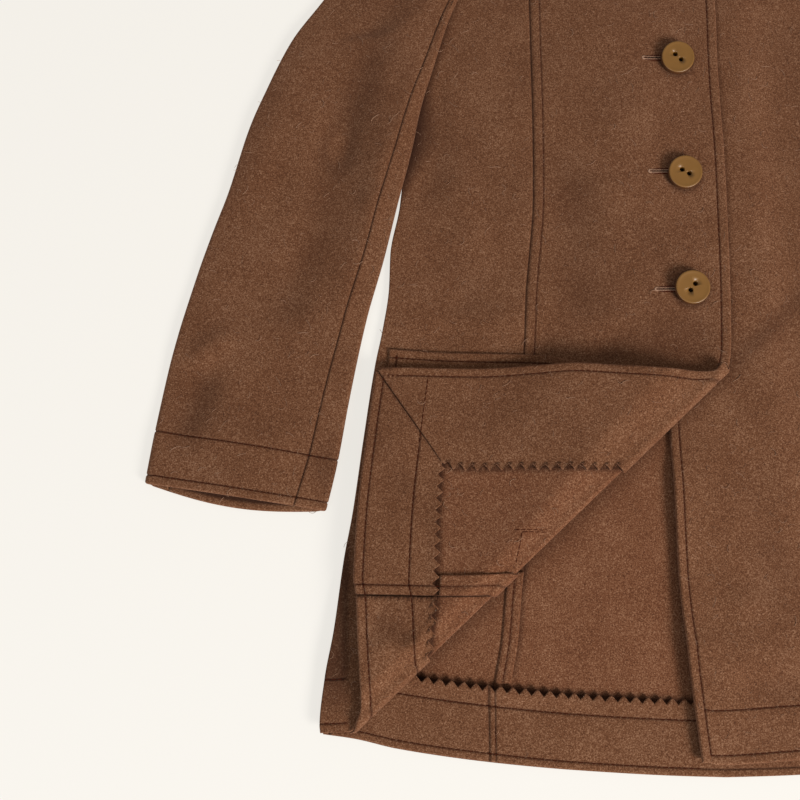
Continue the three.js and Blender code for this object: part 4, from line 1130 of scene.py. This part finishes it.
def pocketPiece(name, node, place, side):
    # side is -1 for the right pocket, which stops where the corner is folded, and 1 for the left one
    pocket = pocketCloth
    share, inset = gridColumns(150, 3.4, [pocket["sideStitch"]], [pocket["sideStitch"]])

    def sideLines(y):
        up = (y - pocket["foot"]) / (pocket["top"] - pocket["foot"])
        return mix(*pocket["outer"], up), mix(*pocket["inner"], up)

    def xAt(y):
        outer, inner = sideLines(y)
        return mix(outer, inner, share) + inset

    topY = smoothAt(pocket["topEdge"], xAt(pocket["top"]))
    footY = np.full_like(topY, pocket["foot"])
    if side < 0:
        atFold = whereIs(20, 420, -7 + 0 * topY, lambda y: pastFold(xAt(y), y))
        footY = np.maximum(footY, atFold)
    near = column(gridStops(12, [pocket["topStitch"]], 2.6))
    yNear = topY - near
    rest = column(np.linspace(0, 1, 62)[1:])
    yRest = mix(topY - 12, footY, rest)
    y = np.vstack([yNear, yRest])
    x = xAt(y)
    fromTop = topY - y
    outer, inner = sideLines(y)
    sides = np.minimum(x - outer, inner - x)
    foot = y - pocket["foot"] if side > 0 else noEdge
    edge = np.minimum(np.minimum(fromTop, sides), foot)
    fall = edgeFall(edge, 1.6)
    sewn = furrow(fromTop - pocket["topStitch"], x) + furrow(sides - pocket["sideStitch"], y) * (fromTop > 4)
    base = layer + slack
    low = place(x * -side, y, base + 0.15 * fall)
    high = place(x * -side, y, base + cloth - fall - sewn)
    # painted shade in the stitch furrows
    pressed = sewnShade(fromTop - pocket["topStitch"])
    pressed = pressed + sewnShade(sides - pocket["sideStitch"]) * (fromTop > 4)
    return clothPiece(name, low, high, woolFace, [node], cutArea(x, y),
                      pressed=pressed)


pocketPiece("pocketRight", "pocket_right", placeRight, -1)
pocketPiece("pocketLeft", "pocket_left", placeLeft, 1)

print("coat: sleeves")

sleeveCloth = {
    "crown": 2.3,  # how far the middle of the upper layer rises
    "backSeam": 18,  # in from the outer edge, on the under layer
    "lip": 8,  # how far the under layer reaches past the upper one at the cuff
    "lipReach": 41,
    "hem": 43,
    "lines": (6.8, 41.5),  # stitches, from the cuff's edge
    "margin": 12,  # out from the body's side, where the sleeve leaves it
    "ramp": 40,  # over which it comes down
}


def sleeveRowKeys():
    middles = [((r[0] + r[2]) / 2, (r[1] + r[3]) / 2) for r in sleeveRows]
    keys = [0.0]
    for a, b in zip(middles, middles[1:]):
        keys.append(keys[-1] + math.hypot(b[0] - a[0], b[1] - a[1]))
    return keys


sleeveKeys = sleeveRowKeys()
sleeveLong = sleeveKeys[-1]
sleeveAt = column([*gridStops(60, sleeveCloth["lines"], 2.4),
                   *np.arange(63, 480, 2.7), *np.arange(482, sleeveLong - 2, 4.5), sleeveLong])
ox, oy, ix, iy, seamIn, roundness = (
    smoothAt(list(zip(sleeveKeys, [row[k] for row in sleeveRows])), sleeveAt) for k in range(6))
sleeveWidth = np.hypot(ix - ox, iy - oy)
wayX, wayY = (ix - ox) / sleeveWidth, (iy - oy) / sleeveWidth
sleeveTurned = cloth * fade(sleeveAt, sleeveCloth["hem"] - 1, sleeveCloth["hem"] + 4)
sleeveLip = sleeveCloth["lip"] * (1 - sleeveAt / sleeveCloth["lipReach"]).clip(0)


def sleeveLift(x, y):
    # the sleeve's upper part lies on the body, and its lower part comes down beside it
    bodyX = -sideX(np.minimum(y, 800))
    onto = rightBase(x, y) + layer + gap
    climb = fade(x, bodyX - sleeveCloth["margin"], bodyX - sleeveCloth["margin"] - sleeveCloth["ramp"])
    return onto * climb * fade(y, 462, 384)


def sleevePlace(across, z, normalAcross, normalUp, past, offset):
    x = ox + wayX * across
    y = oy + wayY * across
    up = z + sleeveLift(x, y) + normalUp * offset
    out = normalAcross * offset
    return settle(x + wayX * out + wayY * past, y + wayY * out - wayX * past, up)


def sleeveUpper(across, offset):
    share = (across - roundness) / (sleeveWidth - 2 * roundness)
    crown = sleeveCloth["crown"] * (1 - np.abs(2 * share - 1) ** 2.6)
    return sleevePlace(across, cloth / 2 + 2 * roundness + crown, 0, 1, 0, offset)


def sleeveUnder(across, offset):
    past = sleeveLip * np.sin(math.pi * across / sleeveWidth)
    return sleevePlace(across, cloth / 2 + 0 * across, 0, -1, past, offset)


def sleeveEdge(centre, angle, offset):
    c, s = np.cos(np.radians(angle)), np.sin(np.radians(angle))
    return sleevePlace(centre + roundness * c, cloth / 2 + roundness + roundness * s, c, s, 0, offset)


def sleevePiece(name, node, topPart, mirror):
    r = roundness
    backSeamAt = np.minimum(sleeveCloth["backSeam"], sleeveWidth * 0.45)
    frontSeamAt = sleeveWidth - seamIn
    fall = edgeFall(sleeveAt, 1.8)
    outer = cloth / 2 - fall - sewnLines(sleeveAt, sleeveCloth["lines"], 0)
    inner = -cloth / 2 - sleeveTurned + fall * 0.8
    # Each column's distance from the front seam. Where none is near, one mark stands for the upper layer and
    # the edge, and another for the under layer, whose cuff lies in the shade
    nearSeam = []
    onUpper, onUnder = noEdge, 2 * noEdge

    def sideOf(offsetOf):
        parts = []
        if topPart:
            near = np.array([gridStops(6, [], 2)])
            parts.append(sleeveUpper(frontSeamAt - gap / 2 - near, offsetOf(near)))
            rest = np.linspace(0, 1, 40)[None, 1:]
            parts.append(sleeveUpper(mix(frontSeamAt - 6.15, r, rest), offsetOf(onUpper + 0 * rest)))
            angles = np.linspace(90, 270, 13)[None, 1:]
            parts.append(sleeveEdge(r, angles, offsetOf(onUpper + 0 * angles)))
            under = np.linspace(0, 1, 9)[None, 1:]
            parts.append(sleeveUnder(mix(r, backSeamAt, under), offsetOf(onUnder + 0 * under)))
        else:
            under = np.linspace(0, 1, 30)[None, :-1]
            across = mix(backSeamAt + gap, sleeveWidth - r, under)
            parts.append(sleeveUnder(across, offsetOf(onUnder + 0 * under)))
            angles = np.linspace(270, 450, 13)[None, :]
            parts.append(sleeveEdge(sleeveWidth - r, angles, offsetOf(onUpper + 0 * angles)))
            near = np.array([[*reversed(gridStops(4, [], 1.6)[:-1])]])
            rest = np.linspace(0, 1, 7)[None, 1:-1]
            across = mix(sleeveWidth - r, frontSeamAt + 4.15, rest)
            parts.append(sleeveUpper(across, offsetOf(onUpper + 0 * rest)))
            parts.append(sleeveUpper(frontSeamAt + gap / 2 + near, offsetOf(near)))
        return np.concatenate(parts, 1)

    def onOutside(near):
        nearSeam.append(near)
        return outer - seamShade(near, 0.9)

    high = sideOf(onOutside)
    low = sideOf(lambda near: inner + 0 * near)
    near = np.concatenate(nearSeam, 1)
    # painted shade inside the cuff's opening on the under layer, and in the seams and stitch furrows
    shadedCuff = 0.85 * fade(sleeveAt, 5.2, 3.4) * fade(sleeveAt, 60, 90)
    lines = sewnShades(sleeveAt, sleeveCloth["lines"])
    pressed = seamShade(near) + np.where(near == onUnder, shadedCuff, lines)
    if mirror:
        high, low = high * [-1, 1, 1], low * [-1, 1, 1]
    middle = (high + low) / 2
    a, b = middle[1:, 1:] - middle[:-1, :-1], middle[1:, :-1] - middle[:-1, 1:]
    area = float(np.linalg.norm(np.cross(a, b), axis=-1).sum() / 2 * 1e-6)
    return clothPiece(name, low, high, woolFace, [node], area,
                      pressed=pressed)


sleevePiece("sleeveRightTop", "sleeve_right_top", True, False)
sleevePiece("sleeveRightUnder", "sleeve_right_under", False, False)
sleevePiece("sleeveLeftTop", "sleeve_left_top", True, True)
sleevePiece("sleeveLeftUnder", "sleeve_left_under", False, True)

print("coat: buttons")


# Polyester button, cast and turned: an even caramel brown, satin. A deeper copy of it is painted shade on the
# side wall.
def castButton(name, dark, bright, roughness):
    material = newMaterial(name)
    tree = material.node_tree
    place = addNode(tree, "ShaderNodeTexCoord").outputs["Object"]
    noise = addNode(tree, "ShaderNodeTexNoise", [(place, "Vector")], Scale=90.0, Detail=3.0)
    ramp = addNode(tree, "ShaderNodeValToRGB", [(noise.outputs["Fac"], "Fac")])
    ramp.color_ramp.elements[0].color = linear(dark)
    ramp.color_ramp.elements[1].color = linear(bright)
    fine = addNode(tree, "ShaderNodeTexNoise", [(place, "Vector")], Scale=1400.0, Detail=2.0)
    bump = addNode(tree, "ShaderNodeBump", [(fine.outputs["Fac"], "Height")], Strength=0.08, Distance=0.0003)
    shader = addNode(tree, "ShaderNodeBsdfPrincipled",
                     [(ramp.outputs["Color"], "Base Color"), (bump.outputs["Normal"], "Normal")],
                     Roughness=roughness, IOR=1.5)
    finishMaterial(tree, shader)
    return material


buttonBrown = castButton("castPolyesterButton", "#6f4a17", "#7a531e", 0.42)
buttonWallShade = castButton("turnedButtonEdge", "#4a280d", "#532f10", 0.55)  # painted shade: a deeper, rougher copy for the button's side wall, which stands in shade
# Painted shade: a nearly black matt material for the deep holes of a button, where its thread lies, and for a
# buttonhole's slit, where no light gets in
paintedHoleShade = plainMaterial("threadAndPaintedHoleShade", "#1d120c", 0.9, 0.05)


def buttonPiece(number, y, turn, tilt):
    r, t = buttonLook["radius"], buttonLook["thick"]
    profile = [(0, 0), (r - 1.8, 0), (r - 0.5, 0.4), (r, 1.1), (r, 1.7),  # back and side
               (r - 0.1, t - 0.9), (r - 0.25, t - 0.45), (r - 0.55, t - 0.15), (r - 0.95, t),  # bevelled rim
               (r - 1.4, t), (r - 1.8, t - 0.06), (r - 2.5, t - 0.2), (r - 3.3, t - 0.3), (r - 5, t - 0.36),
               (0, t - 0.38)]  # shallow dish
    bm = bmesh.new()
    verts = [bm.verts.new((radius, 0, z)) for radius, z in profile]
    edges = [bm.edges.new(pair) for pair in zip(verts, verts[1:])]
    bmesh.ops.spin(bm, geom=verts + edges, axis=(0, 0, 1), cent=(0, 0, 0), steps=72, angle=2 * math.pi,
                   use_merge=True)
    bmesh.ops.remove_doubles(bm, verts=bm.verts[:], dist=1e-3)
    bmesh.ops.recalc_face_normals(bm, faces=bm.faces[:])
    for face in bm.faces:
        face.smooth = True
        # faces that turn away from above take the painted shade of the side wall
        face.material_index = int(face.normal.z < 0.55)
    body = addPiece(f"button{number}", bm, buttonBrown, [f"button_{number}"], "coat_button")
    body.data.materials.append(buttonWallShade)
    cutter = bmesh.new()
    for side in (-1, 1):
        at = Matrix.Translation((side * buttonLook["holeSpacing"] / 2, 0, 0))
        bmesh.ops.create_cone(cutter, cap_ends=True, segments=28, radius1=buttonLook["holeRadius"],
                              radius2=buttonLook["holeRadius"], depth=20, matrix=at)
    cutMesh = bpy.data.meshes.new("buttonHoles")
    cutter.to_mesh(cutMesh)
    cutter.free()
    cut = bpy.data.objects.new("buttonHoles", cutMesh)
    bpy.context.collection.objects.link(cut)
    modifier = body.modifiers.new("holes", "BOOLEAN")
    modifier.object = cut
    modifier.operation = "DIFFERENCE"
    bpy.context.view_layer.update()
    holed = bpy.data.meshes.new_from_object(body.evaluated_get(bpy.context.evaluated_depsgraph_get()))
    body.modifiers.clear()
    body.data = holed
    bpy.data.objects.remove(cut)
    bpy.data.meshes.remove(cutMesh)
    x = buttonLook["x"]
    foot = placeRight(np.array([x]), np.array([y]), np.array([cloth + gap + buttonLook["shank"]]))[0]
    place = (Matrix.Translation(toMetres(foot)) @ Matrix.Rotation(math.radians(tilt), 4, "X")
             @ Matrix.Rotation(math.radians(turn), 4, "Z") @ Matrix.Scale(0.001, 4))
    holed.transform(place)
    return place


buttonPlaces = [buttonPiece(k + 1, *row) for k, row in enumerate(buttonLook["rows"])]

print("coat: sewing")


def unitStitch(segments, rings, size):
    bm = bmesh.new()
    bmesh.ops.create_uvsphere(bm, u_segments=segments, v_segments=rings, radius=0.5,
                              matrix=Matrix.Diagonal((size[0], size[1], size[2], 1))
                              @ Matrix.Rotation(math.pi / 2, 4, "Y"))
    return bm


def scattered(name, unit, places, material, smooth=True):
    # many copies of one small shape, joined
    unit.verts.ensure_lookup_table()
    unit.verts.index_update()
    corners = np.array([[*v.co, 1] for v in unit.verts])
    faces = [[v.index for v in face.verts] for face in unit.faces]
    unit.free()
    points = np.einsum("nij,kj->nki", np.array([list(map(list, place)) for place in places]), corners)
    points = points[..., :3].reshape(-1, 3)
    step = len(corners)
    every = [[i + k * step for i in face] for k in range(len(places)) for face in faces]
    mesh = bpy.data.meshes.new(name)
    mesh.from_pydata(points.tolist(), [], every)
    mesh.polygons.foreach_set("use_smooth", [smooth] * len(mesh.polygons))
    addMesh(name, mesh, material, "felted_wool")


def frameAt(a, b, up=(0, 0, 1)):
    # a place midway between two points, with x along them
    along = (b - a).normalized()
    side = Vector(up).cross(along).normalized()
    turned = Matrix((along, side, along.cross(side))).transposed().to_4x4()
    return Matrix.Translation((a + b) / 2) @ turned


stitches = []


def sewAlong(points):
    # stitches along a line of places
    steps = np.linalg.norm(np.diff(points, axis=0), axis=1)
    at = np.concatenate([[0], np.cumsum(steps)])
    for k in range(int(at[-1] / sewing["pitch"])):
        start = k * sewing["pitch"] + 0.5
        ends = [np.array([np.interp(s, at, points[:, i]) for i in range(3)])
                for s in (start, start + sewing["long"])]
        stitches.append(frameAt(toMetres(ends[0]), toMetres(ends[1])))


def sew(place, x, y, offset):
    # stitches along a line on the pattern
    x, y = np.broadcast_arrays(np.asarray(x, float), np.asarray(y, float))
    sewAlong(place(x, y, offset + 0 * x))


onFace = cloth - 0.42  # in the furrow, on the right side
onTurned = turnedLow + 0.42  # in the furrow, on what is turned in

# Right front: its edge, its seam and the strip of hem outside the fold
foldTop = float(onUpright(lambda y: rightEdgeX(y) - rightCloth["edgeStitch"], np.array([-4.0]))[1][0])
up = np.linspace(726, foldTop, 240)
sew(placeRight, rightEdgeX(up) - rightCloth["edgeStitch"], up, onFace)
seamFoot = float(onUpright(lambda y: rightSeamX(y) + 8, np.array([-4.0]))[1][0])
up = np.linspace(826, seamFoot, 300)
sew(placeRight, rightSeamX(up) + rightCloth["seamStitch"], up, onFace + 0.2)
stripX = np.linspace(-297, -277, 8)
for line in rightCloth["hemLines"]:
    sew(placeRight, stripX, rightHemY(stripX) + line, onFace)

# Left front: its edge, its seam and its hem
up = np.linspace(726, 14, 360)
sew(placeLeft, leftEdgeX(up) + leftCloth["edgeStitch"], up, onFace)
up = np.linspace(826, 20, 360)
sew(placeLeft, smoothAt(frontSeam, up) - leftCloth["seamStitch"], up, onFace + 0.2)
over = np.linspace(-14, 292, 120)
for line in leftCloth["hemLines"]:
    sew(placeLeft, over, leftHemY(over) + line, onFace)

# Inside of the back: its hem and its seam
over = np.linspace(-290, -16, 100)
for line in backCloth["hemLines"]:
    sew(placeBack, over, backHemY(over) + line, layer + onFace)
up = np.linspace(14, 64, 20)
sew(placeBack, backCloth["hemSeamStitch"] - smoothAt(backSeam, up), up, layer + onFace)
up = np.linspace(70, 146, 30)
sew(placeBack, 1 + backCloth["seamStitch"] - smoothAt(backSeam, up), up,
    layer + backCloth["allowanceThick"] - 0.35)

# Folded corner: its edge, its hem, its seam and what comes through from the pocket
up = np.linspace(float(onUpright(rightEdgeX, np.array([1.0]))[1][0]), 34, 140)
sew(placeRight, rightEdgeX(up) - rightCloth["flapEdgeStitch"], up, onTurned)
over = np.linspace(-4, -262, 130)
over = over[pastFold(over, rightHemY(over) + rightCloth["flapHemStitch"]) > 2]
onFacing = over > -60
sew(placeRight, over[onFacing], rightHemY(over[onFacing]) + rightCloth["flapHemStitch"], turnedLow - 0.12)
sew(placeRight, over[~onFacing], rightHemY(over[~onFacing]) + rightCloth["flapHemStitch"], onTurned - 0.1)
over = np.linspace(-4, -266, 130)
over = over[pastFold(over, rightHemY(over) + 7) > 2]  # clear of the fold
sew(placeRight, over, rightHemY(over) + rightCloth["flapEdgeStitch"], onTurned)
up = np.linspace(rightHemY(-168) + 2, 150, 60)
up = up[pastFold(rightSeamX(up) + rightCloth["allowanceStitch"], up) > 3]
sew(placeRight, rightSeamX(up) + rightCloth["allowanceStitch"], up, onTurned)
up = np.linspace(150, 185, 14)
pocketLine = -120 + (up - 150) * 0.07
through = pastFold(pocketLine, up) > foldEnd
sew(placeRight, pocketLine[through], up[through], -0.1)
sew(placeRight, np.linspace(-119, -117, 8), np.linspace(143.6, 171, 8), -0.1)
sew(placeRight, np.linspace(-120, -148, 8), np.linspace(150, 146, 8), -0.1)

# Pockets
onPocket = layer + slack + onFace
for side, place in ((-1, placeRight), (1, placeLeft)):
    top = np.linspace(-246, -103, 60)
    sew(place, top * -side, smoothAt(pocketCloth["topEdge"], top) - pocketCloth["topStitch"], onPocket)
    for along, start, end in (("outer", 322, 145), ("inner", 312, 145)):
        down = np.linspace(start, end, 70)
        share = (down - pocketCloth["foot"]) / (pocketCloth["top"] - pocketCloth["foot"])
        inset = pocketCloth["sideStitch"] * (1 if along == "outer" else -1)
        line = mix(*pocketCloth[along], share) + inset
        shown = pastFold(line, down) < -9 if side < 0 else down > 0
        sew(place, (line * -side)[shown], down[shown], onPocket)

# Cuffs
for mirror in (1, -1):
    for at in sleeveCloth["lines"]:
        row = int(np.argmin(np.abs(sleeveAt[:, 0] - at)))
        across = np.linspace(sleeveWidth[0, 0] - 3, 3, 60)[None, :]
        line = sleeveUpper(across, cloth / 2 - 0.42 + 0 * sleeveAt)[row]
        sewAlong(line * [mirror, 1, 1])

scattered("stitches", unitStitch(6, 5, (sewing["long"] / 1000, sewing["thick"] / 1000, 0.0004)), stitches,
          threadBrown)

buttonhole = {
    "end": -34.6,  # x of its round end
    "start": -12,  # x of its other end, under the button
    "rows": [582.6, 478.5, 375.9, 687.4],
    "pitch": 0.85,  # of its stitches
}
loops, slitShadows, beds = [], [], []
for y in buttonhole["rows"]:
    for x in np.arange(buttonhole["end"] + 3.4, buttonhole["start"], buttonhole["pitch"]):
        for side in (-1, 1):
            a, b = placeRight(np.array([x, x + 0.25]), np.array([y + side * 0.45, y + side * 1.7]),
                              np.array([cloth + 0.3, cloth + 0.15]))
            loops.append(frameAt(toMetres(a), toMetres(b)))
    for k in range(13):  # round the end
        turn = math.radians(60 + k * 20)
        c, s = math.cos(turn), math.sin(turn)
        cx = buttonhole["end"] + 2.6
        a, b = placeRight(np.array([cx + 0.7 * c, cx + 2.1 * c]), np.array([y + 0.7 * s, y + 1.9 * s]),
                          np.array([cloth + 0.4, cloth + 0.1]))
        loops.append(frameAt(toMetres(a), toMetres(b)))
    # a painted shadow in the slit: a thin near-black capsule along it
    a, b = placeRight(np.array([buttonhole["end"] + 3, buttonhole["start"] + 4]), np.array([y, y]),
                      np.array([cloth - 0.02, cloth - 0.02]))
    slitShadows.append(frameAt(toMetres(a), toMetres(b)))
    beds.append(slitShadows[-1] @ Matrix.Translation((-0.0012, 0, -0.00005)))
scattered("buttonholeStitches", unitStitch(6, 5, (0.0016, 0.0006, 0.0005)), loops, buttonholeThread)
scattered("buttonholeSlitShadows", unitStitch(10, 8, (0.0235, 0.0011, 0.0007)), slitShadows, paintedHoleShade)
scattered("buttonholeBeds", unitStitch(16, 8, (0.029, 0.0058, 0.0005)), beds, threadBrown)
# thread in each of the buttons' holes, drawn near black: partly the real thread, partly painted shade deep in
# the hole
knotsInShade = [place @ Matrix.Translation((side * buttonLook["holeSpacing"] / 2, 0, 0.7))
         for place in buttonPlaces for side in (-1, 1)]
scattered("buttonThreadAndHoleShade", unitStitch(12, 8, (3.7, 3.7, 2.2)), knotsInShade, paintedHoleShade)

print("coat: loose fibres")

fuzz = {
    "count": 5000,
    "lengths": (1.8, 2.2, 2.8, 3.6, 4.6, 7),
    "thick": 0.17,  # mm, drawn as coarse as it needs to show; a fibre is 0.03 mm
    "seed": 11,
}


def fibreUnit(turnBy, steps):
    # a curled fibre of unit length, lying in x and y
    bm = bmesh.new()
    ring = bmesh.ops.create_circle(bm, segments=3, radius=fuzz["thick"] / max(fuzz["lengths"]),
                                   matrix=Matrix.Rotation(math.pi / 2, 4, "X"))["verts"]
    reach = 1 / turnBy
    bmesh.ops.spin(bm, geom=[*ring, *bm.edges], axis=(0, 0, 1), cent=(-reach, 0, 0), steps=steps,
                   angle=turnBy)
    bmesh.ops.recalc_face_normals(bm, faces=bm.faces[:])
    bmesh.ops.holes_fill(bm, edges=bm.edges[:], sides=3)
    return bm


random.seed(fuzz["seed"])
bpy.context.view_layer.update()
sight = bpy.context.evaluated_depsgraph_get()
fibres = [[], [], []]
tries = 0
while sum(map(len, fibres)) < fuzz["count"] and tries < fuzz["count"] * 3:
    tries += 1
    above = Vector((random.uniform(-0.44, 0.44), random.uniform(-0.42, 0.42), 0.2))
    hit, point, normal, _, piece, _ = bpy.context.scene.ray_cast(sight, above, Vector((0, 0, -1)))
    onWool = hit and piece.get("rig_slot") == "felted_wool" and not piece.name.startswith("button")
    if not onWool or normal.z < 0.6:
        continue
    length = random.choice(fuzz["lengths"]) * random.uniform(0.7, 1.3) / 1000
    place = (Matrix.Translation(point + normal * 0.00012)
             @ normal.to_track_quat("Z", "Y").to_matrix().to_4x4()
             @ Matrix.Rotation(random.uniform(0, 2 * math.pi), 4, "Z")
             @ Matrix.Rotation(random.uniform(-0.25, 0.25), 4, "Y") @ Matrix.Scale(length, 4))
    fibres[random.randrange(3)].append(place)
for kind, (turnBy, steps) in enumerate([(0.5, 2), (1.2, 3), (2.6, 5)]):
    scattered(f"looseFibres{kind + 1}", fibreUnit(turnBy, steps), fibres[kind], fibreBrown, False)

print("coat: floor, light and camera")

studio = {
    "floor": "#f1ede6",
    "floorGlow": 0.845,
    "floorShare": 0.2,  # of its tone that it reflects, so that the shadows on it stay soft
    "ambient": 0.42,
    "keyPower": 115,  # warm, from the hem's right
    "keyAt": (1.75, -1.95, 1.7),
    "keySize": (1.1, 1.0),
    "sidePower": 8,  # cool, from the sleeve's side
    "sideAt": (-1.1, -1.3, 0.8),
    "sideSize": (0.8, 0.6),
    "cameraAt": (-0.240, -0.32255, 0.8115),
    "cameraTilt": 13,
    "lens": 46.85,
}
floorMesh = bmesh.new()
bmesh.ops.create_grid(floorMesh, x_segments=1, y_segments=1, size=5,
                      matrix=Matrix.Translation((0, 0, -0.0003)))
mesh = bpy.data.meshes.new("floor")
floorMesh.to_mesh(mesh)
floorMesh.free()
floor = bpy.data.objects.new("floor", mesh)
bpy.context.collection.objects.link(floor)
# Seamless background paper, matt and lit from all round: pale and even, and it gives off part of its light
paper = newMaterial("matBackgroundPaper")
floorTone = linear(studio["floor"])
shader = addNode(paper.node_tree, "ShaderNodeBsdfPrincipled", Roughness=0.95)
shader.inputs["Base Color"].default_value = [v * studio["floorShare"] for v in floorTone[:3]] + [1]
shader.inputs["Emission Color"].default_value = floorTone
shader.inputs["Emission Strength"].default_value = studio["floorGlow"]
shader.inputs["Specular IOR Level"].default_value = 0.1
finishMaterial(paper.node_tree, shader)
mesh.materials.append(paper)

world = bpy.data.worlds.new("studio")
world.use_nodes = True
world.node_tree.nodes["Background"].inputs["Color"].default_value = (1.0, 0.985, 0.965, 1)
world.node_tree.nodes["Background"].inputs["Strength"].default_value = studio["ambient"]
bpy.context.scene.world = world


def softbox(name, power, at, size, colour):
    lamp = bpy.data.lights.new(name, "AREA")
    lamp.shape = "RECTANGLE"
    lamp.size, lamp.size_y = size
    lamp.energy = power
    lamp.color = colour
    box = bpy.data.objects.new(name, lamp)
    box.location = at
    box.rotation_euler = (Vector((-0.15, -0.1, 0)) - box.location).to_track_quat("-Z", "Y").to_euler()
    bpy.context.collection.objects.link(box)


softbox("hemSideSoftbox", studio["keyPower"], studio["keyAt"], studio["keySize"], (1.0, 0.965, 0.925))
softbox("sleeveSideSoftbox", studio["sidePower"], studio["sideAt"], studio["sideSize"], (0.72, 0.87, 1.0))

camera = bpy.data.objects.new("camera", bpy.data.cameras.new("camera"))
camera.data.lens = studio["lens"]
camera.data.sensor_width = 36
camera.location = studio["cameraAt"]
camera.rotation_euler = (math.radians(studio["cameraTilt"]), 0, 0)
camera.data.clip_start = 0.01
bpy.context.collection.objects.link(camera)
bpy.context.scene.camera = camera
bpy.context.scene.view_settings.view_transform = "Standard"
